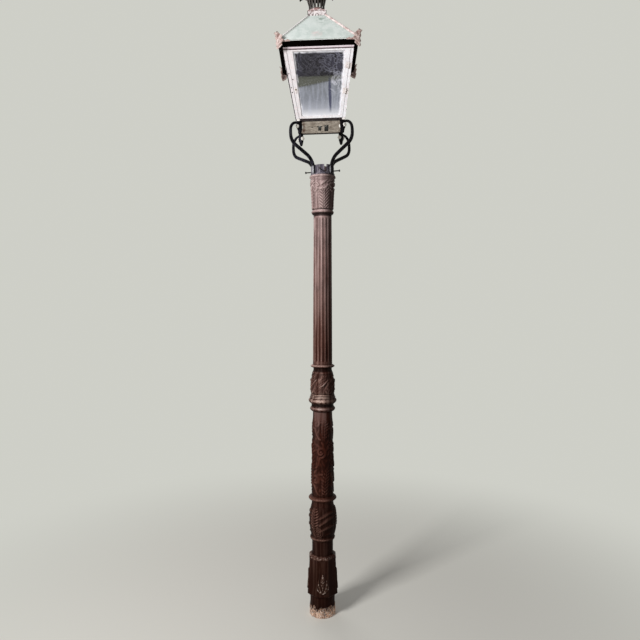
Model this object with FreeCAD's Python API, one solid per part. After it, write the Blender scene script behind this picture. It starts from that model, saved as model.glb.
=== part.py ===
import FreeCAD, Part
import math
import os

V = FreeCAD.Vector

# All sizes are in millimetres and degrees. The origin is the centre of the column's foot,
# +Z runs up the column and the lantern's door faces -Y.

# Column root and octagonal plinth
root_height = 100.0
root_radius = 59.0
plinth_height = 191.0
plinth_foot_across = 143.5
plinth_waist_across = 133.0
plinth_top_across = 125.5
plinth_foot_height = 55.0
plinth_bevel = 8.0
plinth_rim_bevel = 10.0

# Turned and carved stages of the column, from the plinth up
neck_height = 66.0
neck_radius = 50.5
lower_ring_height = 22.0
lower_ring_radius = 60.0
bulb_height = 145.0
bulb_foot_radius = 54.0
bulb_radius = 64.0
bulb_top_radius = 54.5
cove_height = 24.0
cove_radius = 54.0
bulb_ring_height = 24.0
bulb_ring_radius = 67.5
lower_shaft_height = 403.0
lower_shaft_foot_radius = 51.5
lower_shaft_belly_radius = 52.5
lower_shaft_top_radius = 46.5
torus_height = 24.0
torus_radius = 60.4
waist_cove_height = 15.0
waist_cove_radius = 55.5
waist_ring_height = 20.0
waist_ring_radius = 67.4
waist_step_height = 7.0
waist_step_in = 5.6
urn_height = 135.0
urn_foot_radius = 52.0
urn_radius = 55.5
urn_top_radius = 44.5
shaft_ring_height = 20.0
shaft_ring_radius = 57.0
shaft_height = 720.0
shaft_foot_radius = 46.8
shaft_top_radius = 43.6
astragal_height = 24.0
astragal_radius = 54.0
capital_height = 165.0
capital_foot_radius = 48.5
capital_mid_radius = 51.0
capital_top_radius = 57.0
capital_lip_radius = 63.0
capital_lip_height = 14.0
spigot_height = 40.0
spigot_radius = 43.5
column_bore_radius = 28.0

# Flutes and carving on the column
column_sides = 24
flute_count = 16
flute_radius = 8.0
flute_depth = 3.4
flute_end_margin = 14.0
flute_turn = 5.0
rod_sides = 12
carving_sink = 3.0
leaf_margin = 6.0
palm_count = 4
palm_turn = 9.0
palm_height = 104.0
palm_half_width = 32.0
palm_lobes = 7
palm_rise = 6.0
palm_vein_slant = 22.0
palm_tip_height = 40.0
palm_tip_half_width = 27.0
palm_tip_rise = 8.0
small_tip_share = 0.55
urn_leaf_count = 6
urn_leaf_turn = -24.0
urn_leaf_half_width = 15.0
urn_leaf_sweep = 46.0
urn_leaf_rise = 4.6
bulb_leaf_count = 4
bulb_leaf_turn = -38.0
bulb_leaf_half_width = 28.0
bulb_leaf_rise = 5.0
bulb_swoop_half_width = 7.0
scroll_band = 5.0
scroll_rise = 4.5
vine_count = 3
vine_levels = 3
vine_turn = -24.0
vine_scroll_radius = 29.0
vine_leaf_half_width = 13.0
fleur_foot_height = 20.0
fleur_height = 92.0
fleur_side_share = 0.62
fleur_spread = 16.0
fleur_half_width = 7.5
fleur_rise = 5.0

# Lantern bracket: a collar on the column's spigot and four forged arms
collar_height = 46.0
collar_clearance = 2.5
collar_wall = 10.0
collar_sides = 32
collar_foot_height = 8.0
collar_foot_flare = 3.0
cable_notch_width = 13.0
cable_notch_depth = 36.0
cable_notch_turn = 16.0
set_screw_height = 21.0
set_screw_radius = 2.8
set_screw_length = 36.0
set_screw_head = 9.0
set_screw_head_height = 6.0
set_screw_gap = 0.15
set_screw_turn = -8.0
lean_angle = 2.0
arm_tail_height = 26.0
arm_bar_half = 6.8
arm_tip_half = 4.2
arm_throat_radius = 70.0
arm_rise_angle = 25.0
arm_bulge = 201.0
arm_elbow_radius = 48.0
arm_curl_radius = 42.0
arm_tail_foot = 3.0
arm_top_gap = 4.0
arm_pad_thickness = 4.0
arm_pad_gap = 3.0
arm_pad_chamfer = 4.0
arm_pad_width = 15.0
arm_pad_drop = 34.0

# Glazed body of the lantern, a square that widens upwards
lantern_stand = 236.0
bottom_frame_height = 8.0
bottom_frame_setback = 2.0
bottom_frame_width = 16.0
floor_plate_thickness = 2.0
floor_plate_recess = 2.0
triangle_hole_x = -41.5
triangle_hole_side = 15.0
tee_hole_x = -5.5
tee_hole_head = 27.0
tee_hole_stem = 15.0
tee_hole_length = 56.0
slot_hole_x = 27.0
slot_hole_width = 20.0
slot_hole_length = 96.0
edge_notch_places = (-36.0, 14.0, 33.0)
edge_notch = 6.0
body_foot_half = 114.0
body_top_half = 163.0
body_height = 314.0
post_face = 13.0
post_thickness = 3.0
top_frame_height = 8.0
top_frame_width = 14.0
sash_thickness = 5.0
sash_bottom_rail = 12.0
sash_top_rail = 11.0
opening_foot_half = 89.5
opening_top_half = 119.5
door_gap = 1.0
glass_thickness = 3.0
glass_overlap = 5.0
bead_width = 6.0
bead_thickness = 2.0

# Corner feet under the body and their bolts
foot_spread = 100.0
foot_height = 60.0
foot_shank_height = 36.0
foot_side = 16.0
foot_tip_side = 9.0
foot_bolt_radius = 4.5
foot_bolt_head = 16.0
foot_bolt_head_height = 6.0
foot_nut_height = 7.0
foot_bolt_point = 3.0
foot_bolt_drop = 24.0

# Door furniture
hinge_height = 24.0
hinge_leaf_width = 10.0
hinge_leaf_thickness = 1.2
hinge_knuckle_radius = 3.2
hinge_standoff = 0.4
hinge_pin_radius = 1.5
hinge_running_gap = 0.05
hinge_pin_proud = 1.5
hinge_side_gap = 0.4
upper_hinge_at = 232.0
lower_hinge_at = 119.0
button_at = 130.0
button_inset = 9.0
button_tongue = 16.0
button_tail = 10.0
button_width = 8.0
button_thickness = 2.0
button_lift = 0.3
button_screw_radius = 1.5
button_screw_head = 3.4
button_screw_depth = 4.0

# Roof, ventilator and crown
eave_flare = 20.5
eave_rise = 20.0
eave_sheet = 3.0
eave_lip_width = 12.0
roof_overhang = 2.0
roof_height = 177.0
roof_top_half = 43.0
roof_sheet = 1.6
hip_roll_radius = 4.6
box_height = 27.0
box_sheet = 2.0
box_lip = 2.5
box_lip_height = 4.0
crown_seat_height = 13.0
crown_seat_radius = 41.0
crown_sheet = 2.6
crown_foot_radius = 38.0
crown_waist_radius = 50.0
crown_rim_radius = 74.0
crown_neck_height = 68.0
crown_flare_height = 16.0
crown_slot_count = 16
crown_slot_width = 6.6
crown_slot_foot = 4.0
crown_slot_head = 2.0
crown_bend_share = 0.4
crown_leaf_count = 8
crown_leaf_length = 17.0
crown_leaf_half_width = 18.0
crown_leaf_droop = 14.0
cap_radius = 58.0
cap_height = 46.0
cap_sheet = 3.0
cap_neck_radius = 9.0
finial_height = 58.0
finial_ball_radius = 12.0
corner_leaf_height = 74.0
corner_leaf_half_width = 21.0
corner_leaf_sheet = 3.0
corner_leaf_drop = 38.0
corner_wing_length = 40.0
corner_wing_height = 12.0
corner_wing_seat = 3.5
corner_tip_curl = 24.0

# Lamp holder on the floor plate
lamp_base_radius = 28.0
lamp_base_height = 14.0
lamp_shell_foot_radius = 20.0
lamp_shell_radius = 13.4
lamp_shell_height = 57.0

# Levels worked out from the sizes above
plinth_z = root_height
neck_z = plinth_z + plinth_height
lower_ring_z = neck_z + neck_height
bulb_z = lower_ring_z + lower_ring_height
cove_z = bulb_z + bulb_height
bulb_ring_z = cove_z + cove_height
lower_shaft_z = bulb_ring_z + bulb_ring_height
torus_z = lower_shaft_z + lower_shaft_height
waist_cove_z = torus_z + torus_height
waist_ring_z = waist_cove_z + waist_cove_height
waist_step_z = waist_ring_z + waist_ring_height
urn_z = waist_step_z + 2 * waist_step_height
shaft_ring_z = urn_z + urn_height
shaft_z = shaft_ring_z + shaft_ring_height
astragal_z = shaft_z + shaft_height
capital_z = astragal_z + astragal_height
seat_z = capital_z + capital_height
collar_bore_radius = spigot_radius + collar_clearance
collar_radius = collar_bore_radius + collar_wall
arm_root = collar_radius + 0.6 * arm_bar_half
body_z = lantern_stand + bottom_frame_height
tilt = math.degrees(math.atan2(body_top_half - body_foot_half, body_height))
sash_height = ((body_height - top_frame_height) / math.cos(math.radians(tilt))
               - sash_thickness * math.tan(math.radians(tilt)))
side_slope = (body_top_half - body_foot_half) / body_height * math.cos(math.radians(tilt))
eave_z = body_z + body_height
roof_z = eave_z + eave_rise + eave_sheet
box_z = roof_z + roof_height
crown_seat_z = box_z + box_height
crown_z = crown_seat_z + crown_seat_height
roof_foot_half = body_top_half + eave_flare + roof_overhang
corner_names = ["front_right", "back_right", "back_left", "front_left"]
face_names = ["front", "right", "back", "left"]


def bead(low, mid, high, flats=4):
    """Moulding between two (radius, z) points: the arc through mid, in a few flats."""
    points = [V(radius, 0, z) for radius, z in (low, mid, high)]
    return [(p.x, p.z) for p in Part.Arc(*points).toShape().discretize(flats + 1)]


def arc_radius(z, low, mid, high):
    """Radius at height z of the arc through three (radius, z) points."""
    edge = Part.Arc(V(low[0], 0, low[1]), V(mid[0], 0, mid[1]), V(high[0], 0, high[1])).toShape()
    circle = edge.Curve
    reach = math.sqrt(max(circle.Radius ** 2 - (z - circle.Center.z) ** 2, 0.0))
    return circle.Center.x + math.copysign(reach, mid[0] - circle.Center.x)


def triangles(a, b, c, d):
    """The quad a, b, c, d as two flat faces."""
    corners = [[a, b, c, a], [a, c, d, a]]
    return [Part.Face(Part.makePolygon(loop)) for loop in corners]


def closed_solid(faces):
    shell = Part.Shell(faces)
    shell.sewShape()
    solid = Part.Solid(shell)
    if solid.Volume < 0:
        solid.reverse()
    return solid


def ring_solid(rings, flat=True):
    """Solid through rings of corner points, with a flat face or two triangles per side."""
    faces = []
    count = len(rings[0])
    for low, high in zip(rings, rings[1:]):
        for i in range(count):
            corners = [low[i], low[(i + 1) % count], high[(i + 1) % count], high[i]]
            if flat:
                faces.append(Part.Face(Part.makePolygon(corners + corners[:1])))
            else:
                faces += triangles(*corners)
    for ring in (rings[0], rings[-1]):
        faces.append(Part.Face(Part.makePolygon(ring + ring[:1])))
    return closed_solid(faces)


def many_sided(profile, sides):
    """Upright form with a regular many-sided plan through (radius, z) points."""
    rings = []
    for radius, z in profile:
        turns = [2 * math.pi * (k + 0.5) / sides for k in range(sides)]
        rings.append([V(radius * math.cos(a), radius * math.sin(a), z) for a in turns])
    return ring_solid(rings)


def rod(radius, x, length, z):
    """Small round bar along X, with enough flats to look round."""
    bar = many_sided([(radius, 0.0), (radius, length)], rod_sides)
    bar.rotate(V(0, 0, 0), V(0, 1, 0), 90.0)
    bar.translate(V(x, 0, z))
    return bar


def carved_sheet(rows, place, sink):
    """Closed body under a grid of (across, along, rise) points, sunk below the surface."""
    front = [[place(u, v, rise) for u, v, rise in row] for row in rows]
    back = [[place(u, v, -sink) for u, v, rise in row] for row in rows]
    last_row = len(rows) - 1
    last_column = len(rows[0]) - 1
    faces = []
    for i in range(last_row):
        for j in range(last_column):
            faces += triangles(front[i][j], front[i][j + 1], front[i + 1][j + 1], front[i + 1][j])
            faces += triangles(back[i][j], back[i + 1][j], back[i + 1][j + 1], back[i][j + 1])
        for j in (0, last_column):
            faces += triangles(front[i][j], front[i + 1][j], back[i + 1][j], back[i][j])
    for i in (0, last_row):
        for j in range(last_column):
            faces += triangles(front[i][j], back[i][j], back[i][j + 1], front[i][j + 1])
    return closed_solid(faces)


def on_turned(radius_at, angle, spread_radius):
    """Maps (across, height, rise) onto a turned surface, centred on an angle from the front."""
    def place(u, z, rise):
        turn = math.radians(angle - 90.0) + u / spread_radius
        radius = radius_at(z) + rise
        return V(radius * math.cos(turn), radius * math.sin(turn), z)
    return place


def leaf_rows(foot, height, half_width, lobes, rise, sweep=0.0, slant=9.0, fullness=0.55):
    """Grid of a lobed leaf with a midrib and chevron veins; sweep carries the tip sideways."""
    rows = []
    steps = 2 * lobes
    for i in range(steps + 1):
        t = i / steps
        outline = math.sin(math.pi * (0.10 + 0.84 * t)) ** fullness
        full = i % 2 == 1
        half = half_width * outline * (1.0 if full else 0.78)
        lift = slant * (1.0 - t)
        middle = sweep * t * t
        z = foot + height * t
        edge_rise = rise * (0.62 if full else 0.16)
        mid_rise = rise * (1.0 if full else 0.62)
        rows.append([
            (middle - half, z + lift, edge_rise),
            (middle, z, mid_rise),
            (middle + half, z + lift, edge_rise),
        ])
    return rows


def band_rows(path, half_width, rise, steps, taper=0.35):
    """Grid of a ridged band along path(t), which gives (across, height) for t from 0 to 1."""
    rows = []
    for i in range(steps + 1):
        t = i / steps
        u, z = path(t)
        ahead = path(min(t + 0.01, 1.0))
        behind = path(max(t - 0.01, 0.0))
        run = (ahead[0] - behind[0], ahead[1] - behind[1])
        length = math.hypot(run[0], run[1])
        half = half_width * (taper + (1.0 - taper) * math.sin(math.pi * (0.08 + 0.84 * t)))
        du = -run[1] / length * half
        dz = run[0] / length * half
        rows.append([
            (u - du, z - dz, 0.25 * rise),
            (u, z, rise),
            (u + du, z + dz, 0.25 * rise),
        ])
    return rows


def scroll_path(centre_u, centre_z, radius, start_angle, turns, hand):
    """Spiral that winds in from its rim to its eye; hand is 1 or -1."""
    def path(t):
        reach = radius * (1.0 - 0.72 * t)
        angle = math.radians(start_angle + hand * 360.0 * turns * t)
        return (centre_u + reach * math.cos(angle), centre_z + reach * math.sin(angle))
    return path


def turned_to(shape, degrees):
    """A copy of a shape, turned about the upright axis."""
    copy = shape.copy()
    copy.rotate(V(0, 0, 0), V(0, 0, 1), degrees)
    return copy


def octagon(across, z):
    """Corners of an octagon with one flat facing the front."""
    radius = across / 2 / math.cos(math.radians(22.5))
    turns = [math.radians(22.5 + 45.0 * k) for k in range(8)]
    return [V(radius * math.cos(a), radius * math.sin(a), z) for a in turns]


def plinth():
    """Octagonal plinth with a bevelled foot and rim, and a fleur on every other facet."""
    levels = [
        (plinth_foot_across - 2 * plinth_bevel, 0.0),
        (plinth_foot_across, plinth_bevel),
        (plinth_waist_across, plinth_foot_height),
        (plinth_top_across, plinth_height - plinth_rim_bevel),
        (plinth_top_across - 2 * plinth_rim_bevel, plinth_height),
    ]
    body = ring_solid([octagon(across, plinth_z + z) for across, z in levels])

    def half_across(z):
        z = z - plinth_z
        for (low, z0), (high, z1) in zip(levels, levels[1:]):
            if z <= z1:
                return (low + (high - low) * (z - z0) / (z1 - z0)) / 2
        return levels[-1][0] / 2

    petals = []
    foot = plinth_z + fleur_foot_height
    for k in range(4):
        turn = math.radians(90.0 * k - 90.0)

        def place(u, z, rise, turn=turn):
            out = half_across(z) + rise
            return V(out * math.cos(turn) - u * math.sin(turn),
                     out * math.sin(turn) + u * math.cos(turn), z)

        petals.append(carved_sheet(
            band_rows(lambda t: (0.0, foot + fleur_height * t), fleur_half_width, fleur_rise, 3),
            place, carving_sink))
        for side in (-1, 1):
            def petal(t, side=side):
                return (side * (fleur_half_width / 2 + fleur_spread * math.sin(0.62 * math.pi * t)),
                        foot + fleur_side_share * fleur_height * t)
            petals.append(carved_sheet(band_rows(petal, 0.6 * fleur_half_width, 0.8 * fleur_rise, 3),
                                       place, carving_sink))
    return [body] + petals


def bulb_outline():
    low = (bulb_foot_radius, bulb_z)
    mid = (bulb_radius, bulb_z + 0.42 * bulb_height)
    high = (bulb_top_radius, cove_z)
    return low, mid, high


def lower_stages():
    """Neck drum, ring, carved bulb, cove and ring."""
    low, mid, high = bulb_outline()
    neck_top = (neck_radius, lower_ring_z)
    cove_top = (cove_radius, bulb_ring_z)
    profile = [(neck_radius, neck_z)]
    profile += bead(neck_top, (lower_ring_radius, lower_ring_z + lower_ring_height / 2), low)
    profile += bead(low, mid, high)[1:]
    profile += bead(high, (cove_radius - 1.5, cove_z + cove_height / 2), cove_top, 2)[1:]
    profile += bead(cove_top, (bulb_ring_radius, bulb_ring_z + bulb_ring_height / 2),
                    (lower_shaft_foot_radius, lower_shaft_z))[1:]
    return [many_sided(profile, column_sides)]


def bulb_carving():
    """Upright feathered leaves between scrolls and swooping stems."""
    forms = []
    pitch = 2 * math.pi * bulb_radius / bulb_leaf_count
    for k in range(bulb_leaf_count):
        angle = bulb_leaf_turn + 360.0 * k / bulb_leaf_count
        place = on_turned(lambda z: arc_radius(z, *bulb_outline()), angle, bulb_radius)
        foot = bulb_z + 0.26 * bulb_height
        forms.append(carved_sheet(
            leaf_rows(foot, 0.66 * bulb_height, bulb_leaf_half_width, 5, bulb_leaf_rise),
            place, carving_sink))
        eye = (0.36 * pitch, bulb_z + 0.20 * bulb_height)
        scroll = scroll_path(eye[0], eye[1], 0.13 * bulb_height, 60.0, 1.1, -1)
        forms.append(carved_sheet(band_rows(scroll, scroll_band, scroll_rise, 8), place, carving_sink))
        for level in (0.40, 0.62):
            def swoop(t, level=level):
                return (pitch * (0.25 + 0.45 * t),
                        bulb_z + bulb_height * (level + 0.28 * math.sin(math.pi / 2 * t)))
            forms.append(carved_sheet(band_rows(swoop, bulb_swoop_half_width, 0.8 * bulb_leaf_rise, 3),
                                      place, carving_sink))
    return forms


def lower_shaft_outline():
    low = (lower_shaft_foot_radius, lower_shaft_z)
    mid = (lower_shaft_belly_radius, lower_shaft_z + 0.35 * lower_shaft_height)
    high = (lower_shaft_top_radius, torus_z)
    return low, mid, high


def lower_shaft():
    """Swelling shaft below the waist mouldings."""
    low, mid, high = lower_shaft_outline()
    torus_top = (waist_cove_radius, waist_cove_z)
    cove_top = (waist_cove_radius, waist_ring_z)
    ring_top = (waist_ring_radius - waist_step_in, waist_step_z)
    profile = bead(low, mid, high)
    profile += bead(high, (torus_radius, torus_z + torus_height / 2), torus_top)[1:]
    profile += bead(torus_top, (waist_cove_radius - 2.5, waist_cove_z + waist_cove_height / 2),
                    cove_top, 2)[1:]
    profile += bead(cove_top, (waist_ring_radius, waist_ring_z + waist_ring_height / 2), ring_top)[1:]
    profile.append((ring_top[0], waist_step_z + waist_step_height))
    steps = [many_sided(profile, column_sides)]
    second = ring_top[0] - waist_step_in
    steps.append(many_sided([(second, waist_step_z + waist_step_height), (second, urn_z)],
                            column_sides))
    return steps


def vine_carving():
    """Scrolling stems that wind up the lower shaft, with a leaf beside each scroll."""
    forms = []
    pitch = lower_shaft_height / vine_levels
    spread = 2 * math.pi * lower_shaft_belly_radius / vine_count
    for k in range(vine_count):
        place = on_turned(lambda z: arc_radius(z, *lower_shaft_outline()),
                          vine_turn + 360.0 * k / vine_count, lower_shaft_belly_radius)
        for level in range(vine_levels):
            side = 1 if level % 2 else -1
            base = lower_shaft_z + pitch * (level + 0.04)
            eye = (side * 0.13 * spread, base + 0.56 * pitch)
            curl = scroll_path(eye[0], eye[1], vine_scroll_radius, -100.0, 1.05, side)
            start = (-side * 0.10 * spread, base)
            landing = curl(0.0)

            def stem_and_scroll(t, start=start, landing=landing, curl=curl):
                if t < 0.28:
                    s = t / 0.28
                    return (start[0] + (landing[0] - start[0]) * s,
                            start[1] + (landing[1] - start[1]) * s * s)
                return curl((t - 0.28) / 0.72)

            forms.append(carved_sheet(band_rows(stem_and_scroll, scroll_band, scroll_rise, 10),
                                      place, carving_sink))
            leaf = leaf_rows(base + 0.10 * pitch, 0.74 * pitch, vine_leaf_half_width, 3,
                             scroll_rise, -side * 10.0, 6.0)
            shift = -side * 0.27 * spread
            moved = [[(u + shift, z, rise) for u, z, rise in row] for row in leaf]
            forms.append(carved_sheet(moved, place, carving_sink))
    return forms


def urn_outline():
    low = (urn_foot_radius, urn_z)
    mid = (urn_radius, urn_z + 0.38 * urn_height)
    high = (urn_top_radius, shaft_ring_z)
    return low, mid, high


def urn():
    """Swelling drum under the fluted shaft, and the ring that caps it."""
    low, mid, high = urn_outline()
    profile = bead(low, mid, high)
    profile += bead(high, (shaft_ring_radius, shaft_ring_z + shaft_ring_height / 2),
                    (shaft_foot_radius, shaft_z))[1:]
    return [many_sided(profile, column_sides)]


def urn_carving():
    """Leaves that sweep round the drum."""
    forms = []
    for k in range(urn_leaf_count):
        place = on_turned(lambda z: arc_radius(z, *urn_outline()),
                          urn_leaf_turn + 360.0 * k / urn_leaf_count, urn_radius)
        rows = leaf_rows(urn_z + leaf_margin, urn_height - 5 * leaf_margin, urn_leaf_half_width, 5,
                         urn_leaf_rise, urn_leaf_sweep, 8.0, 0.7)
        forms.append(carved_sheet(rows, place, carving_sink))
    return forms


def fluted_shaft():
    """Tapered shaft, one side to each hollow flute; the flutes stop short of its ends."""
    shaft = many_sided([(shaft_foot_radius, shaft_z), (shaft_top_radius, astragal_z)], flute_count)
    lean = math.degrees(math.atan2(shaft_foot_radius - shaft_top_radius, shaft_height))
    run = shaft_height - 2 * flute_end_margin
    tip = flute_radius - flute_depth
    cutter = many_sided([(tip, 0.0), (flute_radius, 1.5 * flute_depth),
                         (flute_radius, run - 1.5 * flute_depth), (tip, run)], rod_sides)
    cutter.translate(V(tip, 0, 0))
    cutter.rotate(V(0, 0, 0), V(0, 1, 0), -lean)
    flat_radius = shaft_foot_radius * math.cos(math.pi / flute_count)
    cutter.translate(V(flat_radius, 0, shaft_z + flute_end_margin))
    flutes = [turned_to(cutter, 360.0 * k / flute_count) for k in range(flute_count)]
    return [turned_to(shaft.cut(flutes), flute_turn)]


def capital_outline():
    low = (capital_foot_radius, capital_z)
    mid = (capital_mid_radius, capital_z + 0.55 * capital_height)
    high = (capital_top_radius, seat_z - capital_lip_height)
    return low, mid, high


def capital_radius(z):
    return arc_radius(z, *capital_outline())


def capital():
    """Astragal, bell and lip of the capital, and the spigot above it."""
    low, mid, high = capital_outline()
    profile = bead((shaft_top_radius, astragal_z),
                   (astragal_radius, astragal_z + astragal_height / 2), low)
    profile += bead(low, mid, high, 3)[1:]
    profile += bead(high, (capital_lip_radius, seat_z - 0.4 * capital_lip_height),
                    (capital_lip_radius - 2.0, seat_z), 3)[1:]
    spigot = Part.makeCylinder(spigot_radius, spigot_height, V(0, 0, seat_z))
    return [many_sided(profile, column_sides), spigot]


def capital_carving():
    """Standing palm leaves with chevron veins, each under an overturned tip."""
    forms = []
    tip_foot = seat_z - capital_lip_height - palm_tip_height
    for k in range(palm_count):
        angle = palm_turn + 360.0 * k / palm_count
        place = on_turned(capital_radius, angle, capital_mid_radius)
        rows = leaf_rows(capital_z + leaf_margin, palm_height, palm_half_width, palm_lobes, palm_rise,
                         0.0, palm_vein_slant, 0.30)
        forms.append(carved_sheet(rows, place, carving_sink))
        for turn, share in ((0.0, 1.0), (180.0 / palm_count, small_tip_share)):
            tip_place = on_turned(capital_radius, angle + turn, capital_top_radius)
            tip = []
            for i in range(4):
                t = i / 3
                half = share * palm_tip_half_width * math.sin(math.pi * (0.20 + 0.60 * t))
                swell = palm_tip_rise * math.sin(math.pi * (0.12 + 0.60 * t))
                z = tip_foot + palm_tip_height * t
                tip.append([(-half, z - 5.0 * (1 - t), 0.35 * swell), (0.0, z + 2.0, swell),
                            (half, z - 5.0 * (1 - t), 0.35 * swell)])
            forms.append(carved_sheet(tip, tip_place, carving_sink))
    return forms


def column():
    """The column is one hollow casting from its root to the spigot."""
    stages = plinth() + lower_stages() + bulb_carving() + lower_shaft() + vine_carving()
    stages += urn() + urn_carving() + fluted_shaft() + capital() + capital_carving()
    root = Part.makeCylinder(root_radius, root_height)
    casting = root.multiFuse(stages)
    bore = Part.makeCylinder(column_bore_radius, seat_z + spigot_height + 2.0, V(0, 0, -1.0))
    return casting.cut(bore)


def set_on_column(shape):
    """Moves a form of the lantern's own frame, which stands on the collar, onto the column."""
    lift = (collar_radius + collar_foot_flare) * math.sin(math.radians(lean_angle))
    shape.translate(V(0, 0, seat_z + lift))
    shape.rotate(V(0, 0, seat_z + lift), V(0, 1, 0), -lean_angle)
    return shape


def collar_body():
    """Outer form of the collar, which the arm tails are saddled on."""
    flared = collar_radius + collar_foot_flare
    return many_sided([(flared, 0.0), (flared, 0.5 * collar_foot_height),
                       (collar_radius, collar_foot_height), (collar_radius, collar_height)],
                      collar_sides)


def frog_collar():
    """Bracket collar with a flared foot, a cable notch and four tapped holes."""
    bore = many_sided([(collar_bore_radius, -1.0), (collar_bore_radius, collar_height + 1.0)],
                      collar_sides)
    ring = collar_body().cut(bore)
    notch = Part.makeBox(cable_notch_width, 2 * collar_wall + 10.0, cable_notch_depth + 1.0,
                         V(-cable_notch_width / 2, -collar_radius - 5.0,
                           collar_height - cable_notch_depth))
    notch.rotate(V(0, 0, 0), V(0, 0, 1), cable_notch_turn)
    hole = rod(set_screw_radius, collar_bore_radius - 5.0, collar_wall + 10.0, set_screw_height)
    holes = [turned_to(hole, 90.0 * k + set_screw_turn) for k in range(4)]
    return ring.cut([notch] + holes)


def set_screws():
    """Four square-headed screws that bear on the spigot, each with its own reach."""
    screws = []
    drift = set_screw_height * math.sin(math.radians(lean_angle))
    for k in range(4):
        angle = 90.0 * k + set_screw_turn
        tip = spigot_radius + drift * math.cos(math.radians(angle)) + set_screw_gap
        shank = rod(set_screw_radius, tip, set_screw_length, set_screw_height)
        half = set_screw_head / 2
        head = Part.makeBox(set_screw_head_height, set_screw_head, set_screw_head,
                            V(tip + set_screw_length, -half, set_screw_height - half))
        head = head.makeChamfer(1.2, [e for e in head.Edges if abs(e.tangentAt(0).x) < 0.5
                                      and e.CenterOfMass.x > tip + set_screw_length
                                      + set_screw_head_height / 2])
        screws.append(turned_to(shank.fuse(head), angle))
    return Part.makeCompound(screws)


def arm_stations():
    """Centre line of an arm in its own upright plane: (reach, height, direction, half size)."""
    rise = math.radians(arm_rise_angle)
    points = [(arm_root, arm_tail_foot, 90.0), (arm_root, arm_tail_height, 90.0)]
    reach, height = points[-1][:2]
    steps = 4
    for i in range(1, steps + 1):
        turn = math.radians(90.0 - (90.0 - arm_rise_angle) * i / steps)
        points.append((reach + arm_throat_radius * (1 - math.sin(turn)),
                       height + arm_throat_radius * math.cos(turn), math.degrees(turn)))
    reach, height = points[-1][:2]
    run = arm_bulge - reach - arm_elbow_radius * (1 - math.sin(rise))
    reach += run
    height += run * math.tan(rise)
    points.append((reach, height, arm_rise_angle))
    for i in range(1, steps + 1):
        turn = math.radians(arm_rise_angle + (90.0 - arm_rise_angle) * i / steps)
        points.append((reach + arm_elbow_radius * (math.sin(turn) - math.sin(rise)),
                       height + arm_elbow_radius * (math.cos(rise) - math.cos(turn)),
                       math.degrees(turn)))
    tip_height = lantern_stand - arm_tip_half - arm_top_gap
    points.append((arm_bulge, tip_height - arm_curl_radius, 90.0))
    for i in range(1, steps + 2):
        turn = math.radians(90.0 * i / (steps + 1))
        points.append((arm_bulge - arm_curl_radius * (1 - math.cos(turn)),
                       tip_height - arm_curl_radius * (1 - math.sin(turn)),
                       90.0 + math.degrees(turn)))
    pad_face = foot_spread * math.sqrt(2) + foot_side / 2 + arm_pad_thickness
    points.append((pad_face - arm_pad_thickness / 4, tip_height, 180.0))
    return points


def bar_section(reach, height, direction, half):
    """Eight-sided section of the forged bar, square to its direction."""
    along = math.radians(direction)
    across = V(-math.sin(along), 0, math.cos(along))
    corner = half * 0.42
    flats = [(half, corner), (corner, half), (-corner, half), (-half, corner),
             (-half, -corner), (-corner, -half), (corner, -half), (half, -corner)]
    centre = V(reach, 0, height)
    return [centre + across * a + V(0, b, 0) for a, b in flats]


def frog_arm():
    """Forged arm: a tail saddled on the collar, an ogee bar and a flat pad for the foot bolt."""
    stations = arm_stations()
    rings = []
    count = len(stations) - 1
    for i, (reach, height, direction) in enumerate(stations):
        t = max(0.0, i - 0.45 * count) / (0.55 * count)
        half = arm_bar_half + (arm_tip_half - arm_bar_half) * t
        rings.append(bar_section(reach, height, direction, half))
    bar = ring_solid(rings, False)
    pad_face = foot_spread * math.sqrt(2) + foot_side / 2
    pad_top = lantern_stand - arm_pad_gap
    pad = Part.makeBox(arm_pad_thickness, arm_pad_width, arm_pad_drop,
                       V(pad_face, -arm_pad_width / 2, pad_top - arm_pad_drop))
    pad = pad.makeChamfer(arm_pad_chamfer, [e for e in pad.Edges if abs(e.tangentAt(0).x) > 0.5
                                            and e.CenterOfMass.z < pad_top - arm_pad_drop / 2])
    arm = bar.fuse(pad)
    hole = rod(foot_bolt_radius, pad_face - arm_pad_thickness, 3 * arm_pad_thickness,
               lantern_stand - foot_bolt_drop)
    return arm.cut([turned_to(collar_body(), 45.0), hole])


def corner_foot():
    """Foot under a body corner: a square shank across the diagonal with a tapered toe."""
    reach = foot_spread * math.sqrt(2)
    half = foot_side / 2
    toe = foot_tip_side / 2
    low = lantern_stand - foot_height
    rings = [square_ring(0.5 * toe, low), square_ring(toe, low + 4.0),
             square_ring(half, lantern_stand - foot_shank_height), square_ring(half, lantern_stand)]
    foot = ring_solid(rings)
    foot.translate(V(reach, 0, 0))
    hole = rod(foot_bolt_radius, reach - half - 2.0, foot_side + 4.0, lantern_stand - foot_bolt_drop)
    return foot.cut(hole)


def hexagon_prism(across, x, thickness, level):
    """Hexagonal head or nut whose axis runs along X."""
    size = across / 2 / math.cos(math.radians(30.0))
    turns = [math.radians(60.0 * k) for k in range(6)]
    return ring_solid([[V(at, size * math.cos(a), level + size * math.sin(a)) for a in turns]
                       for at in (x, x + thickness)])


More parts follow.
